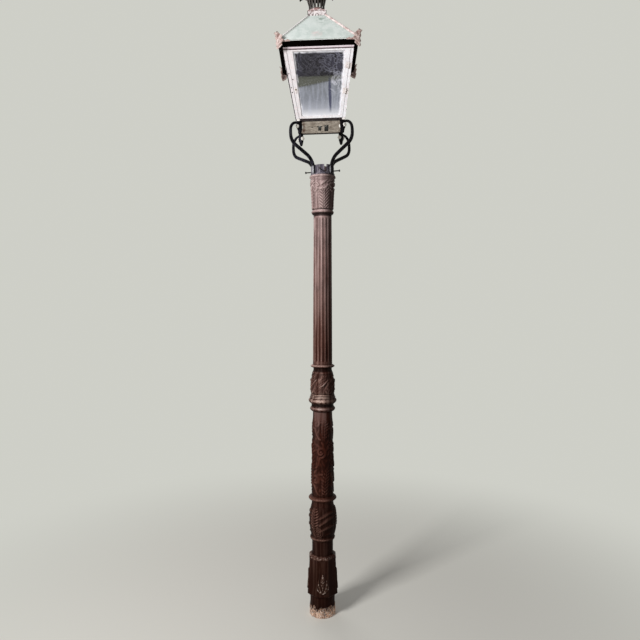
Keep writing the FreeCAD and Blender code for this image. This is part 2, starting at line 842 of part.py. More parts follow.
def foot_bolts():
    """Bolt and nut through each arm pad and foot."""
    reach = foot_spread * math.sqrt(2)
    level = lantern_stand - foot_bolt_drop
    inner = reach - foot_side / 2
    outer = reach + foot_side / 2 + arm_pad_thickness
    proud = foot_nut_height + foot_bolt_point
    shank = rod(foot_bolt_radius, inner - proud, outer - inner + proud, level)
    head = hexagon_prism(foot_bolt_head, outer, foot_bolt_head_height, level)
    nut = hexagon_prism(foot_bolt_head, inner - foot_nut_height, foot_nut_height, level).cut(shank)
    bolts = []
    for k in range(4):
        angle = 90.0 * k - 45.0
        bolts.append(turned_to(shank.fuse(head), angle))
        bolts.append(turned_to(nut, angle))
    return Part.makeCompound(bolts)


def square_ring(half, z):
    return [V(-half, -half, z), V(half, -half, z), V(half, half, z), V(-half, half, z)]


def square_frustum(low_half, low_z, high_half, high_z):
    return ring_solid([square_ring(low_half, low_z), square_ring(high_half, high_z)])


def body_half(z):
    """Half width of the body's outer faces at a height above the bottom frame."""
    return body_foot_half + (body_top_half - body_foot_half) * z / body_height


def bottom_frame():
    outer = body_foot_half - bottom_frame_setback
    inner = outer - bottom_frame_width
    return square_frustum(outer, lantern_stand, outer, body_z).cut(
        square_frustum(inner, lantern_stand - 1.0, inner, body_z + 1.0))


def floor_plate():
    """Loose-fitted floor with the cut-outs seen from below."""
    half = body_foot_half - bottom_frame_setback - bottom_frame_width
    low = lantern_stand + floor_plate_recess
    plate = square_frustum(half, low, half, low + floor_plate_thickness)

    def cut_out(points):
        wire = Part.makePolygon([V(x, y, low - 1.0) for x, y in points + points[:1]])
        return Part.Face(wire).extrude(V(0, 0, floor_plate_thickness + 2.0))

    def rectangle(low_x, high_x, low_y, high_y):
        return cut_out([(low_x, low_y), (high_x, low_y), (high_x, high_y), (low_x, high_y)])

    tri = triangle_hole_side / 2
    cuts = [cut_out([(triangle_hole_x - tri, -tri), (triangle_hole_x + tri, -tri),
                     (triangle_hole_x, tri)])]
    cuts.append(rectangle(tee_hole_x - tee_hole_head / 2, tee_hole_x + tee_hole_head / 2,
                          -tee_hole_stem, 0.0))
    cuts.append(rectangle(tee_hole_x - tee_hole_stem / 2, tee_hole_x + tee_hole_stem / 2,
                          -tee_hole_stem, tee_hole_length))
    cuts.append(rectangle(slot_hole_x - slot_hole_width / 2, slot_hole_x + slot_hole_width / 2,
                          -0.3 * slot_hole_length, 0.7 * slot_hole_length))
    for x in edge_notch_places:
        cuts.append(rectangle(x - edge_notch / 2, x + edge_notch / 2, -half - 1.0,
                              -half + edge_notch))
    return plate.cut(cuts)


def onto_face(shape, face):
    """Moves a shape drawn flat (across, up the slope, outwards) onto one face of the body."""
    lean = math.radians(tilt)
    up = V(0, -math.sin(lean), math.cos(lean))
    out = V(0, -math.cos(lean), -math.sin(lean))
    matrix = FreeCAD.Matrix(1, up.x, out.x, 0,
                            0, up.y, out.y, -body_foot_half,
                            0, up.z, out.z, body_z,
                            0, 0, 0, 1)
    placed = shape.copy()
    placed.Placement = FreeCAD.Placement(matrix).multiply(placed.Placement)
    placed.rotate(V(0, 0, 0), V(0, 0, 1), 90.0 * face)
    return placed


def sash_half(v):
    """Half width of a sash at a distance up the slope."""
    return body_foot_half - post_face + side_slope * v


def trapezoid(low_half, low_v, high_half, high_v, low_w, high_w):
    corners = [(-low_half, low_v), (low_half, low_v), (high_half, high_v), (-high_half, high_v),
               (-low_half, low_v)]
    wire = Part.makePolygon([V(u, v, low_w) for u, v in corners])
    return Part.Face(wire).extrude(V(0, 0, high_w - low_w))


def sash_blank(gap, low_w, high_w):
    """Flat trapezoid that fills a face between its posts, less a gap all round."""
    low_v = gap
    high_v = sash_height - gap
    return trapezoid(sash_half(low_v) - gap, low_v, sash_half(high_v) - gap, high_v, low_w, high_w)


def opening(grow, low_w, high_w):
    """Glazed opening of a sash, larger by grow on every side."""
    low_v = sash_bottom_rail
    high_v = sash_height - sash_top_rail
    slope = (opening_top_half - opening_foot_half) / (high_v - low_v)
    return trapezoid(opening_foot_half + grow * (1 - slope), low_v - grow,
                     opening_top_half + grow * (1 + slope), high_v + grow, low_w, high_w)


def sash(gap):
    """Flat frame flush with the posts."""
    return sash_blank(gap, -sash_thickness, 0.0).cut(opening(0.0, -sash_thickness - 1.0, 1.0))


def glass_pane():
    return opening(glass_overlap, -sash_thickness - glass_thickness, -sash_thickness)


def glazing_bead():
    """Stepped bead behind a sash that laps the edge of its pane."""
    back = -sash_thickness - glass_thickness - bead_thickness
    bead = opening(glass_overlap + bead_width / 2, back, -sash_thickness)
    pocket = opening(glass_overlap, back + bead_thickness, -sash_thickness + 1.0)
    clear = opening(glass_overlap - bead_width / 2, back - 1.0, -sash_thickness + 1.0)
    return bead.cut([pocket, clear])


def corner_posts():
    """Angle posts: the corners left of a square shell once its four faces are cut away."""
    high = body_z + body_height - top_frame_height
    top = body_half(body_height - top_frame_height)
    wall = post_thickness / math.cos(math.radians(tilt))
    shell = square_frustum(body_foot_half, body_z, top, high).cut(
        square_frustum(body_foot_half - wall - side_slope, body_z - 1.0,
                       top - wall + side_slope, high + 1.0))
    faces = [onto_face(trapezoid(sash_half(-20.0), -20.0, sash_half(sash_height + 20.0),
                                 sash_height + 20.0, -20.0, 5.0), k) for k in range(4)]
    corners = {}
    for solid in shell.cut(faces).Solids:
        centre = solid.CenterOfMass
        depth = "front" if centre.y < 0 else "back"
        side = "left" if centre.x < 0 else "right"
        corners[depth + "_" + side] = solid
    return corners


def top_frame():
    low = body_z + body_height - top_frame_height
    low_half = body_half(body_height - top_frame_height)
    inner = body_top_half - top_frame_width
    return square_frustum(low_half, low, body_top_half, eave_z).cut(
        square_frustum(inner, low - 1.0, inner, eave_z + 1.0))


def hinge_line():
    """Foot and direction of the door's hinge axis, drawn flat on the front face."""
    lift = hinge_knuckle_radius + hinge_standoff
    foot = V(sash_half(0.0) - door_gap / 2, 0, lift)
    direction = V(side_slope, 1.0, 0)
    direction.normalize()
    return foot, direction


def along_hinge(shape, at):
    """Moves a hinge form, drawn about the Z axis, to a distance up the hinge line."""
    foot, direction = hinge_line()
    turn = math.degrees(math.atan2(side_slope, 1.0))
    shape.rotate(V(0, 0, 0), V(1, 0, 0), -90.0)
    shape.rotate(V(0, 0, 0), V(0, 0, 1), -turn)
    shape.translate(foot + direction * at)
    return shape


def hinge_half(door_side):
    """One leaf of a butt hinge: the door has the middle knuckle, the post the outer two."""
    third = hinge_height / 3
    half = hinge_height / 2
    bore = hinge_pin_radius + hinge_running_gap
    lift = hinge_knuckle_radius + hinge_standoff
    if door_side:
        spans = [(-third / 2 + hinge_side_gap / 2, third / 2 - hinge_side_gap / 2)]
        side = -1
    else:
        spans = [(-half, -third / 2 - hinge_side_gap / 2), (third / 2 + hinge_side_gap / 2, half)]
        side = 1
    near = hinge_knuckle_radius + 0.6
    near_x = near if side > 0 else -near - hinge_leaf_width
    parts = [Part.makeBox(hinge_leaf_width, hinge_leaf_thickness, hinge_height,
                          V(near_x, lift - hinge_leaf_thickness, -half))]
    for low, high in spans:
        parts.append(many_sided([(hinge_knuckle_radius, low), (hinge_knuckle_radius, high)],
                                rod_sides))
        parts.append(Part.makeBox(near + 0.5, hinge_leaf_thickness, high - low,
                                  V(0 if side > 0 else -near - 0.5, lift - hinge_leaf_thickness, low)))
    leaf = parts[0].multiFuse(parts[1:])
    return leaf.cut(Part.makeCylinder(bore, hinge_height + 2.0, V(0, 0, -half - 1.0)))


def hinge_pin():
    """Plain pin, a little longer than the knuckles at each end."""
    length = hinge_height + 2 * hinge_pin_proud
    return Part.makeCylinder(hinge_pin_radius, length, V(0, 0, -length / 2))


def button_pivot():
    """Pivot of the turn button, drawn flat on the front face."""
    return V(-sash_half(button_at) + door_gap + button_inset, button_at, 0)


def turn_button():
    """Bar with cut corners, turned upright so that the door is free."""
    pivot = button_pivot()
    half = button_width / 2
    low = pivot.y - button_tongue
    high = pivot.y + button_tail
    cut = 0.6 * half
    plan = [(-half, low + cut), (-half + cut, low), (half - cut, low), (half, low + cut),
            (half, high - cut), (half - cut, high), (-half + cut, high), (-half, high - cut)]
    bar = ring_solid([[V(pivot.x + x, y, w) for x, y in plan]
                      for w in (button_lift, button_lift + button_thickness)])
    hole = Part.makeCylinder(button_screw_radius + hinge_running_gap, button_thickness + 2.0,
                             V(pivot.x, pivot.y, button_lift - 1.0))
    return bar.cut(hole)


def turn_screw_shank(top):
    pivot = button_pivot()
    return Part.makeCylinder(button_screw_radius, button_screw_depth + top,
                             V(pivot.x, pivot.y, -button_screw_depth))


def turn_screw():
    """Shouldered screw in the door stile that the button turns on."""
    pivot = button_pivot()
    top = button_lift + button_thickness + 0.2
    shank = turn_screw_shank(top)
    head = many_sided([(button_screw_head, top), (0.7 * button_screw_head, top + 1.6)], rod_sides)
    head.translate(V(pivot.x, pivot.y, 0))
    return shank.fuse(head)


def eave_frame():
    """Flared eave: a rolled sheet that stands on the top frame and carries the roof."""
    outer = body_top_half + eave_flare
    inner = body_top_half - top_frame_width
    rim = eave_z + eave_rise
    flare = square_frustum(body_top_half, eave_z, outer, rim)
    hollow = square_frustum(body_top_half - eave_sheet, eave_z + eave_sheet, outer - eave_sheet,
                            rim + eave_sheet)
    throat = square_frustum(inner, eave_z - 1.0, inner, rim + eave_sheet)
    lip = square_frustum(outer, rim, outer, rim + eave_sheet).cut(
        square_frustum(outer - eave_lip_width, rim - 1.0, outer - eave_lip_width,
                       rim + eave_sheet + 1.0))
    return flare.cut([hollow, throat]).fuse(lip)


def roof_panels():
    """Four flat panels mitred along the hips."""
    slope = (roof_foot_half - roof_top_half) / roof_height
    wall = roof_sheet * math.sqrt(1 + slope * slope)
    outer = square_frustum(roof_foot_half, roof_z, roof_top_half, box_z)
    inner = square_frustum(roof_foot_half - wall + slope, roof_z - 1.0,
                           roof_top_half - wall - slope, box_z + 1.0)
    shell = outer.cut(inner)
    far = 2 * roof_foot_half
    panels = []
    for k in range(4):
        wedge = Part.Face(Part.makePolygon([V(0, 0, roof_z - 2), V(-far, -far, roof_z - 2),
                                            V(far, -far, roof_z - 2), V(0, 0, roof_z - 2)]))
        wedge = turned_to(wedge.extrude(V(0, 0, roof_height + 4.0)), 90.0 * k)
        panels.append(shell.common(wedge))
    return panels


def hip_roll():
    """Half-round roll that covers one hip joint of the roof."""
    foot = V(roof_foot_half, -roof_foot_half, roof_z)
    top = V(roof_top_half, -roof_top_half, box_z)
    run = top - foot
    length = run.Length
    run.normalize()
    roll = Part.makeCylinder(hip_roll_radius, length + 30.0, foot - run * 15.0, run)
    roof = square_frustum(roof_foot_half, roof_z, roof_top_half, box_z)
    box = square_frustum(roof_top_half, box_z - 1.0, roof_top_half, box_z + 40.0)
    above = Part.makeBox(400.0, 400.0, 60.0, V(0, -400.0, box_z))
    below = Part.makeBox(400.0, 400.0, 60.0, V(0, -400.0, roof_z - 60.0))
    return roll.cut([roof, box, above, below])


def roof_box():
    """Square vent box on the roof with a turned-out lip and a round seat for the crown."""
    outer = roof_top_half
    lip_z = crown_seat_z - box_lip_height
    box = square_frustum(outer, box_z, outer, lip_z)
    lip = square_frustum(outer + box_lip, lip_z, outer + box_lip, crown_seat_z)
    seat = many_sided([(crown_seat_radius, crown_seat_z),
                       (crown_seat_radius, crown_seat_z + 0.6 * crown_seat_height),
                       (crown_foot_radius + 1.0, crown_z)], crown_slot_count)
    hollow = square_frustum(outer - box_sheet, box_z - 1.0, outer - box_sheet, crown_seat_z - box_sheet)
    bore = many_sided([(crown_foot_radius - crown_sheet, crown_seat_z - 10.0),
                       (crown_foot_radius - crown_sheet, crown_z + 10.0)], crown_slot_count)
    return box.multiFuse([lip, seat]).cut([hollow, bore])


def crown():
    """Slotted ventilator of flat staves that flares into a rim of drooping leaf tips."""
    bend = crown_z + crown_bend_share * crown_neck_height
    neck_top = crown_z + crown_neck_height
    rim = neck_top + crown_flare_height
    outer = many_sided([(crown_foot_radius, crown_z), (crown_foot_radius + 1.0, bend),
                        (crown_waist_radius, neck_top),
                        (0.5 * (crown_waist_radius + crown_rim_radius) - 4.0, rim - 4.0),
                        (crown_rim_radius, rim), (crown_rim_radius, rim + crown_sheet)],
                       crown_slot_count)
    inner = many_sided([(crown_foot_radius - crown_sheet, crown_z - 1.0),
                        (crown_foot_radius + 1.0 - crown_sheet, bend),
                        (crown_waist_radius - crown_sheet, neck_top),
                        (crown_waist_radius + 5.0, rim + crown_sheet + 1.0)], crown_slot_count)
    slot_height = crown_neck_height - crown_slot_foot - crown_slot_head
    slot = Part.makeBox(2 * crown_waist_radius, crown_slot_width, slot_height,
                        V(0.6 * crown_foot_radius, -crown_slot_width / 2,
                          crown_z + crown_slot_foot))
    slots = [turned_to(slot, 360.0 * k / crown_slot_count) for k in range(crown_slot_count)]
    leaves = []
    for k in range(crown_leaf_count):
        angle = 2 * math.pi * (k + 0.5) / crown_leaf_count

        def place(u, reach, rise, angle=angle):
            droop = crown_leaf_droop * (max(reach, 0.0) / crown_leaf_length) ** 2
            out = crown_rim_radius - 3.0 + reach
            return V(out * math.cos(angle) - u * math.sin(angle),
                     out * math.sin(angle) + u * math.cos(angle), rim + rise - droop)

        rows = []
        for i in range(5):
            t = i / 4
            half = crown_leaf_half_width * (1.0 - 0.75 * t ** 1.6) * (1.0 if i % 2 == 0 else 0.88)
            reach = (crown_leaf_length + 3.0) * t - 3.0
            rows.append([(half, reach, crown_sheet), (0.0, reach, crown_sheet + 2.0),
                         (-half, reach, crown_sheet)])
        leaves.append(carved_sheet(rows, place, 0.0))
    return outer.cut([inner] + slots).multiFuse(leaves)


def crown_cap():
    """Gored cap that closes the crown, drawn up to the finial."""
    rim = crown_z + crown_neck_height + crown_flare_height + crown_sheet
    profile = [(1.0, 0.0), (1.0, 0.09), (0.86, 0.42), (0.62, 0.70), (0.36, 0.88)]
    outer = [(cap_radius * r, rim + cap_height * z) for r, z in profile]
    outer.append((cap_neck_radius, rim + cap_height))
    inner = [(cap_radius * r - cap_sheet, rim + cap_height * z - 2.0) for r, z in profile]
    return many_sided(outer, crown_slot_count).cut(many_sided(inner, crown_slot_count))


def finial():
    """Cast finial: a collar, a ball and a point."""
    foot = crown_z + crown_neck_height + crown_flare_height + crown_sheet + cap_height
    ball = foot + 8.0 + finial_ball_radius
    profile = [(cap_neck_radius, foot), (cap_neck_radius + 2.0, foot + 3.0),
               (0.5 * cap_neck_radius, foot + 8.0)]
    for turn in (-45.0, 0.0, 45.0):
        profile.append((finial_ball_radius * math.cos(math.radians(turn)),
                        ball + finial_ball_radius * math.sin(math.radians(turn))))
    profile.append((0.35 * cap_neck_radius, ball + 1.05 * finial_ball_radius))
    profile.append((1.2, foot + finial_height))
    return many_sided(profile, crown_slot_count)


def corner_leaf():
    """Cast leaf over an eave corner, its tip curled out, with a wing along each eave."""
    outer = body_top_half + eave_flare
    reach = outer * math.sqrt(2) + 0.3
    foot = eave_z + eave_rise - corner_leaf_drop

    def place(u, z, rise):
        t = (z - foot) / corner_leaf_height
        out = reach + rise + corner_tip_curl * (2 * max(0.0, t - 0.5)) ** 2 - 0.4 * abs(u)
        return V(out, u, z)

    rows = leaf_rows(foot, corner_leaf_height, corner_leaf_half_width, 4, 5.0, 0.0, -6.0, 0.5)
    leaf = carved_sheet(rows, place, corner_leaf_sheet)
    leaf = turned_to(leaf, -45.0)
    wings = []
    level = eave_z + eave_rise - 2.0
    for mirror in (False, True):
        plan = [(4.0, 0.0), (-corner_wing_length, 2.0), (-corner_wing_length, 5.0),
                (-0.6 * corner_wing_length, corner_wing_height), (-0.3 * corner_wing_length, 7.0),
                (4.0, 16.0), (4.0, 0.0)]
        wing = Part.makePolygon([V(outer + x, -outer - corner_wing_seat, level + z)
                                 for x, z in plan])
        wing = Part.Face(wing).extrude(V(0, corner_leaf_sheet, 0))
        if mirror:
            wing = wing.mirror(V(0, 0, 0), V(1, 1, 0))
        wings.append(wing)
    eave = square_frustum(body_top_half, eave_z, outer, eave_z + eave_rise)
    lip = square_frustum(outer, eave_z + eave_rise, outer, roof_z)
    roof = square_frustum(roof_foot_half, roof_z, roof_top_half, box_z)
    return leaf.multiFuse(wings).cut([eave, lip, roof, hip_roll()])


def lamp_holder():
    """Porcelain holder with a foot and a domed top, no lamp in it."""
    foot = lantern_stand + floor_plate_recess + floor_plate_thickness
    waist = foot + lamp_base_height
    top = waist + lamp_shell_height
    return many_sided([(lamp_base_radius, foot),
                       (lamp_base_radius, foot + 0.6 * lamp_base_height),
                       (lamp_shell_foot_radius, waist),
                       (lamp_shell_radius, waist + 0.42 * lamp_shell_height),
                       (lamp_shell_radius, top - 0.6 * lamp_shell_radius),
                       (0.55 * lamp_shell_radius, top)], crown_slot_count)


def lantern_nodes():
    """Every piece above the column, in the lantern's own frame."""
    nodes = {
        "frog_collar": frog_collar(),
        "collar_set_screws": set_screws(),
        "foot_bolts_and_nuts": foot_bolts(),
        "bottom_frame": bottom_frame(),
        "floor_plate": floor_plate(),
        "top_frame": top_frame(),
        "eave_frame": eave_frame(),
        "roof_vent_box": roof_box(),
        "crown": crown(),
        "crown_cap": crown_cap(),
        "finial": finial(),
        "lamp_holder": lamp_holder(),
        "door_frame": onto_face(sash(door_gap).cut(turn_screw_shank(1.0)), 0),
        "turn_button": onto_face(turn_button(), 0),
        "turn_button_screw": onto_face(turn_screw(), 0),
        "hinge_pins": onto_face(Part.makeCompound([along_hinge(hinge_pin(), at)
                                                   for at in (lower_hinge_at, upper_hinge_at)]), 0),
    }
    for name, door_side in (("hinge_door_leaves", True), ("hinge_post_leaves", False)):
        leaves = [along_hinge(hinge_half(door_side), at) for at in (lower_hinge_at, upper_hinge_at)]
        nodes[name] = onto_face(Part.makeCompound(leaves), 0)
    arm = frog_arm()
    foot = corner_foot()
    roll = hip_roll()
    leaf = corner_leaf()
    for k, corner in enumerate(corner_names):
        angle = 90.0 * k - 45.0
        nodes["frog_arm_" + corner] = turned_to(arm, angle)
        nodes["corner_foot_" + corner] = turned_to(foot, angle)
        nodes["hip_roll_" + corner] = turned_to(roll, 90.0 * k)
        nodes["corner_leaf_" + corner] = turned_to(leaf, 90.0 * k)
    for corner, post in corner_posts().items():
        nodes["corner_post_" + corner] = post
    for k, face in enumerate(face_names):
        nodes["glass_pane_" + face] = onto_face(glass_pane(), k)
        nodes["glazing_bead_" + face] = onto_face(glazing_bead(), k)
        if k > 0:
            nodes["sash_" + face] = onto_face(sash(0.0), k)
    for k, panel in enumerate(roof_panels()):
        nodes["roof_panel_" + face_names[k]] = panel
    return nodes


os.makedirs("parts", exist_ok=True)
column().exportStep("parts/column.step")
for node_name, node_shape in lantern_nodes().items():
    set_on_column(node_shape).exportStep("parts/" + node_name + ".step")
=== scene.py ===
import math

import bmesh
import bpy
import numpy as np
from mathutils import Matrix, Vector, noise


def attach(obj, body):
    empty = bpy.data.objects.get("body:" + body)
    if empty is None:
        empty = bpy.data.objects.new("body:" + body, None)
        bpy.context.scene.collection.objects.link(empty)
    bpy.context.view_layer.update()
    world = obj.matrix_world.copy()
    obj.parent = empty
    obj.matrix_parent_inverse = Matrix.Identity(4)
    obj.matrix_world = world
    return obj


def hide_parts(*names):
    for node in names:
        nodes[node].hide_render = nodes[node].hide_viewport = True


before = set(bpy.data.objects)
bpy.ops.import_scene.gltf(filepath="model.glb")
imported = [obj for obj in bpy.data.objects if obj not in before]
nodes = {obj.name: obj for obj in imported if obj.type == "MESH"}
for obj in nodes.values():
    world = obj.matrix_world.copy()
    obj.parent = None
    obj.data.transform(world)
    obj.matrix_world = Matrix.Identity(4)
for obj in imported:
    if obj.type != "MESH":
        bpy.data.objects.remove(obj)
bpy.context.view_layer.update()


# Studio
# A plain pale floor that fades into a plain pale ground, a soft lamp high on the left front, a
# weak one behind, and a level camera as far away as the photograph's.
camera_distance = 2.789
camera_height = 1.489
camera_side = -0.0126
camera_focal_pixels = 575.0
frame_pixels = 640.0
horizon_pixel = 305.0
ground_colour = (0.62, 0.625, 0.575, 1.0)


def add_node(kind, inputs=None, tree=None, **settings):
    """Adds a shader node fed by values or sockets, in the tree given or in that of its sockets."""
    inputs = inputs or {}
    fed = [key for key, value in inputs.items() if isinstance(value, bpy.types.NodeSocket)]
    tree = tree or inputs[fed[0]].id_data
    made = tree.nodes.new(kind)
    for name, value in settings.items():
        setattr(made, name, value)
    for key, value in inputs.items():
        if key in fed:
            tree.links.new(value, made.inputs[key])
        else:
            made.inputs[key].default_value = value
    return made


def calc(operation, first, second=0.0):
    """One step of arithmetic on values or sockets."""
    return add_node("ShaderNodeMath", {0: first, 1: second}, operation=operation).outputs[0]


def object_place(tree):
    return add_node("ShaderNodeTexCoord", tree=tree).outputs["Object"]


scene = bpy.context.scene
scene.view_settings.view_transform = "Standard"
camera_data = bpy.data.cameras.new("camera")
camera_data.lens = camera_data.sensor_width * camera_focal_pixels / frame_pixels
camera_data.shift_y = (horizon_pixel - frame_pixels / 2) / frame_pixels
camera = bpy.data.objects.new("camera", camera_data)
camera.location = (camera_side, -camera_distance, camera_height)
camera.rotation_euler = (math.radians(90.0), 0.0, 0.0)
scene.collection.objects.link(camera)
scene.camera = camera

world = bpy.data.worlds.new("soft_room")
world.use_nodes = True
scene.world = world
sky = world.node_tree
sky.nodes.clear()
rays = add_node("ShaderNodeLightPath", tree=sky).outputs
mirrored = calc("MAXIMUM", rays["Is Camera Ray"], rays["Is Transmission Ray"])
mirrored = calc("MAXIMUM", mirrored, rays["Is Glossy Ray"])
room = add_node("ShaderNodeBackground", {"Color": (1.0, 1.0, 1.0, 1.0), "Strength": 0.24}, sky)
ground = add_node("ShaderNodeBackground", {"Color": ground_colour, "Strength": 1.0}, sky)
both = add_node("ShaderNodeMixShader", {0: mirrored, 1: room.outputs[0], 2: ground.outputs[0]})
add_node("ShaderNodeOutputWorld", {"Surface": both.outputs[0]})

floor_material = bpy.data.materials.new("pale_floor")
floor_material.use_nodes = True
tree = floor_material.node_tree
tree.nodes.clear()
reach = add_node("ShaderNodeVectorMath", {0: object_place(tree)}, operation="LENGTH")
fade = add_node("ShaderNodeMapRange", {"Value": reach.outputs["Value"], "From Min": 0.5,
                                       "From Max": 2.6}, interpolation_type="SMOOTHSTEP")
boards = add_node("ShaderNodeBsdfDiffuse", {"Color": (0.78, 0.76, 0.70, 1.0)}, tree)
glow = add_node("ShaderNodeEmission", {"Color": ground_colour, "Strength": 1.0}, tree)
mixed = add_node("ShaderNodeMixShader", {0: fade.outputs[0], 1: boards.outputs[0],
                                         2: glow.outputs[0]})
add_node("ShaderNodeOutputMaterial", {"Surface": mixed.outputs[0]})
bm = bmesh.new()
bmesh.ops.create_circle(bm, cap_ends=True, segments=64, radius=40.0)
floor_mesh = bpy.data.meshes.new("floor")
bm.to_mesh(floor_mesh)
bm.free()
floor = bpy.data.objects.new("floor", floor_mesh)
floor_mesh.materials.append(floor_material)
scene.collection.objects.link(floor)


def soft_lamp(name, spot, aim, size, watts):
    lamp_data = bpy.data.lights.new(name, "AREA")
    lamp_data.size = size
    lamp_data.energy = watts
    lamp = bpy.data.objects.new(name, lamp_data)
    lamp.location = spot
    lamp.rotation_euler = (Vector(aim) - Vector(spot)).to_track_quat("-Z", "Y").to_euler()
    scene.collection.objects.link(lamp)


soft_lamp("front_left_lamp", (-2.1, -2.3, 3.0), (0.0, 0.0, 1.9), 0.9, 108.0)
soft_lamp("back_lamp", (-1.2, 2.9, 2.6), (0.0, 0.0, 1.6), 2.0, 20.0)


# Column: root
# The plain round stub of the hollow iron casting, which stands in a socket. It still carries a
# crust of the mortar that it was set in, thickest at the front.
root_radius = 59.0
root_height = 100.0
crust_height = 46.0
crust_thickness = 2.6
stage_sides = 256


def linear(colour):
    """A colour given as 0 to 255 in the linear values of shaders; sockets and linear ones stay."""
    if not isinstance(colour, tuple) or len(colour) == 4:
        return colour
    shares = [value / 255.0 for value in colour]
    return (*[c / 12.92 if c <= 0.04045 else ((c + 0.055) / 1.055) ** 2.4 for c in shares], 1.0)


def ramp(factor, stops):
    """A colour ramp with the (position, colour) stops given."""
    made = add_node("ShaderNodeValToRGB", {"Fac": factor})
    elements = made.color_ramp.elements
    for index, (position, tint) in enumerate(stops):
        element = elements[index] if index < 2 else elements.new(position)
        element.position = position
        element.color = linear(tint)
    return made.outputs["Color"]


def span(value, low, high, low_out=0.0, high_out=1.0):
    """Maps a value between low and high onto 0 to 1, clamped."""
    made = add_node("ShaderNodeMapRange", {"Value": value, "From Min": low, "From Max": high,
                                           "To Min": low_out, "To Max": high_out})
    return made.outputs[0]


def times(first, second):
    return calc("MULTIPLY", first, second)


def over(mask, tint, coat, strength=1.0):
    """Lays a coat of another colour over a tint, as far as a mask and a strength allow."""
    if strength != 1.0:
        mask = times(mask, strength)
    made = add_node("ShaderNodeMix", {0: mask, 6: linear(tint), 7: linear(coat)}, data_type="RGBA")
    return made.outputs[2]


def grain(spot, scale, detail, roughness=0.5, distortion=0.0):
    """Noise over a place, about 0.5 on the whole."""
    made = add_node("ShaderNodeTexNoise", {"Vector": spot, "Scale": scale, "Detail": detail,
                                           "Roughness": roughness, "Distortion": distortion})
    return made.outputs[0]


def axis_of(vector, axis):
    return add_node("ShaderNodeSeparateXYZ", {0: vector}).outputs[axis]


def geometry(tree, name):
    return add_node("ShaderNodeNewGeometry", tree=tree).outputs[name]


def crest_of(tree):
    """The height of the carving that each piece keeps with its points."""
    return add_node("ShaderNodeAttribute", tree=tree, attribute_name="crest").outputs["Fac"]


def weathering_group():
    """Masks of age: large blotches, fine specks, upright streaks, and a height for the bump."""
    group = bpy.data.node_groups.new("weathering", "ShaderNodeTree")
    for name in ("Scale", "Streak Length"):
        group.interface.new_socket(name, in_out="INPUT", socket_type="NodeSocketFloat")
    for name in ("Blotch", "Speck", "Streak", "Height"):
        group.interface.new_socket(name, in_out="OUTPUT", socket_type="NodeSocketFloat")
    given = add_node("NodeGroupInput", tree=group).outputs
    spot = object_place(group)
    finer = times(given["Scale"], 11.0)
    small = grain(spot, finer, 4.0, 0.7)
    pits = add_node("ShaderNodeTexVoronoi", {"Vector": spot, "Scale": finer})
    stretch = add_node("ShaderNodeCombineXYZ", {"X": 1.0, "Y": 1.0,
                                                "Z": calc("DIVIDE", 1.0, given["Streak Length"])})
    tall = add_node("ShaderNodeVectorMath", {0: spot, 1: stretch.outputs[0]}, operation="MULTIPLY")
    runs = grain(tall.outputs[0], times(given["Scale"], 4.0), 3.0, 0.55)
    add_node("NodeGroupOutput", {"Blotch": span(grain(spot, given["Scale"], 6.0, 0.62), 0.42, 0.62),
                                 "Speck": span(small, 0.54, 0.68), "Streak": span(runs, 0.44, 0.60),
                                 "Height": calc("ADD", small, pits.outputs["Distance"])})
    return group


weathering = weathering_group()


class Finish:
    """A material whose colour is laid on coat by coat, with the masks of its age."""

    def __init__(self, name, scale, streak_length, bump=0.0):
        self.material = bpy.data.materials.new(name)
        self.material.use_nodes = True
        self.tree = self.material.node_tree
        self.shader = self.tree.nodes["Principled BSDF"]
        self.age = add_node("ShaderNodeGroup", {"Scale": scale, "Streak Length": streak_length},
                            self.tree, node_tree=weathering).outputs
        if bump:
            relief = add_node("ShaderNodeBump", {"Height": self.age["Height"], "Strength": 0.7,
                                                 "Distance": bump})
            self.feed("Normal", relief.outputs[0])

    def feed(self, name, value):
        """Sets an input of the shader to a number, or joins a socket to it."""
        if isinstance(value, float):
            self.shader.inputs[name].default_value = value
        else:
            self.tree.links.new(value, self.shader.inputs[name])

    def coat(self, mask, colour, strength=1.0):
        """Lays a colour over what is there, as far as a mask and a strength allow."""
        self.tint = over(mask, self.tint, colour, strength)
        self.feed("Base Color", self.tint)


def aged_metal(name, body, dark, pale, scale, streak_length=8.0, blotch=0.8, streak=0.5,
               speck=0.5, roughness=0.6, metallic=0.0, bump=0.0006, gloss=0.15):
    """Starts a finish whose colour is worn by the weathering masks."""
    paint = Finish(name, scale, streak_length, bump)
    paint.tint = body
    paint.coat(paint.age["Blotch"], dark, blotch)
    paint.coat(paint.age["Streak"], pale, streak)
    paint.coat(paint.age["Speck"], dark, speck)
    rough = span(paint.age["Blotch"], 0.0, 1.0, roughness - 0.08, roughness + 0.12)
    paint.feed("Roughness", rough)
    paint.feed("Metallic", metallic)
    paint.feed("Specular IOR Level", gloss)
    return paint


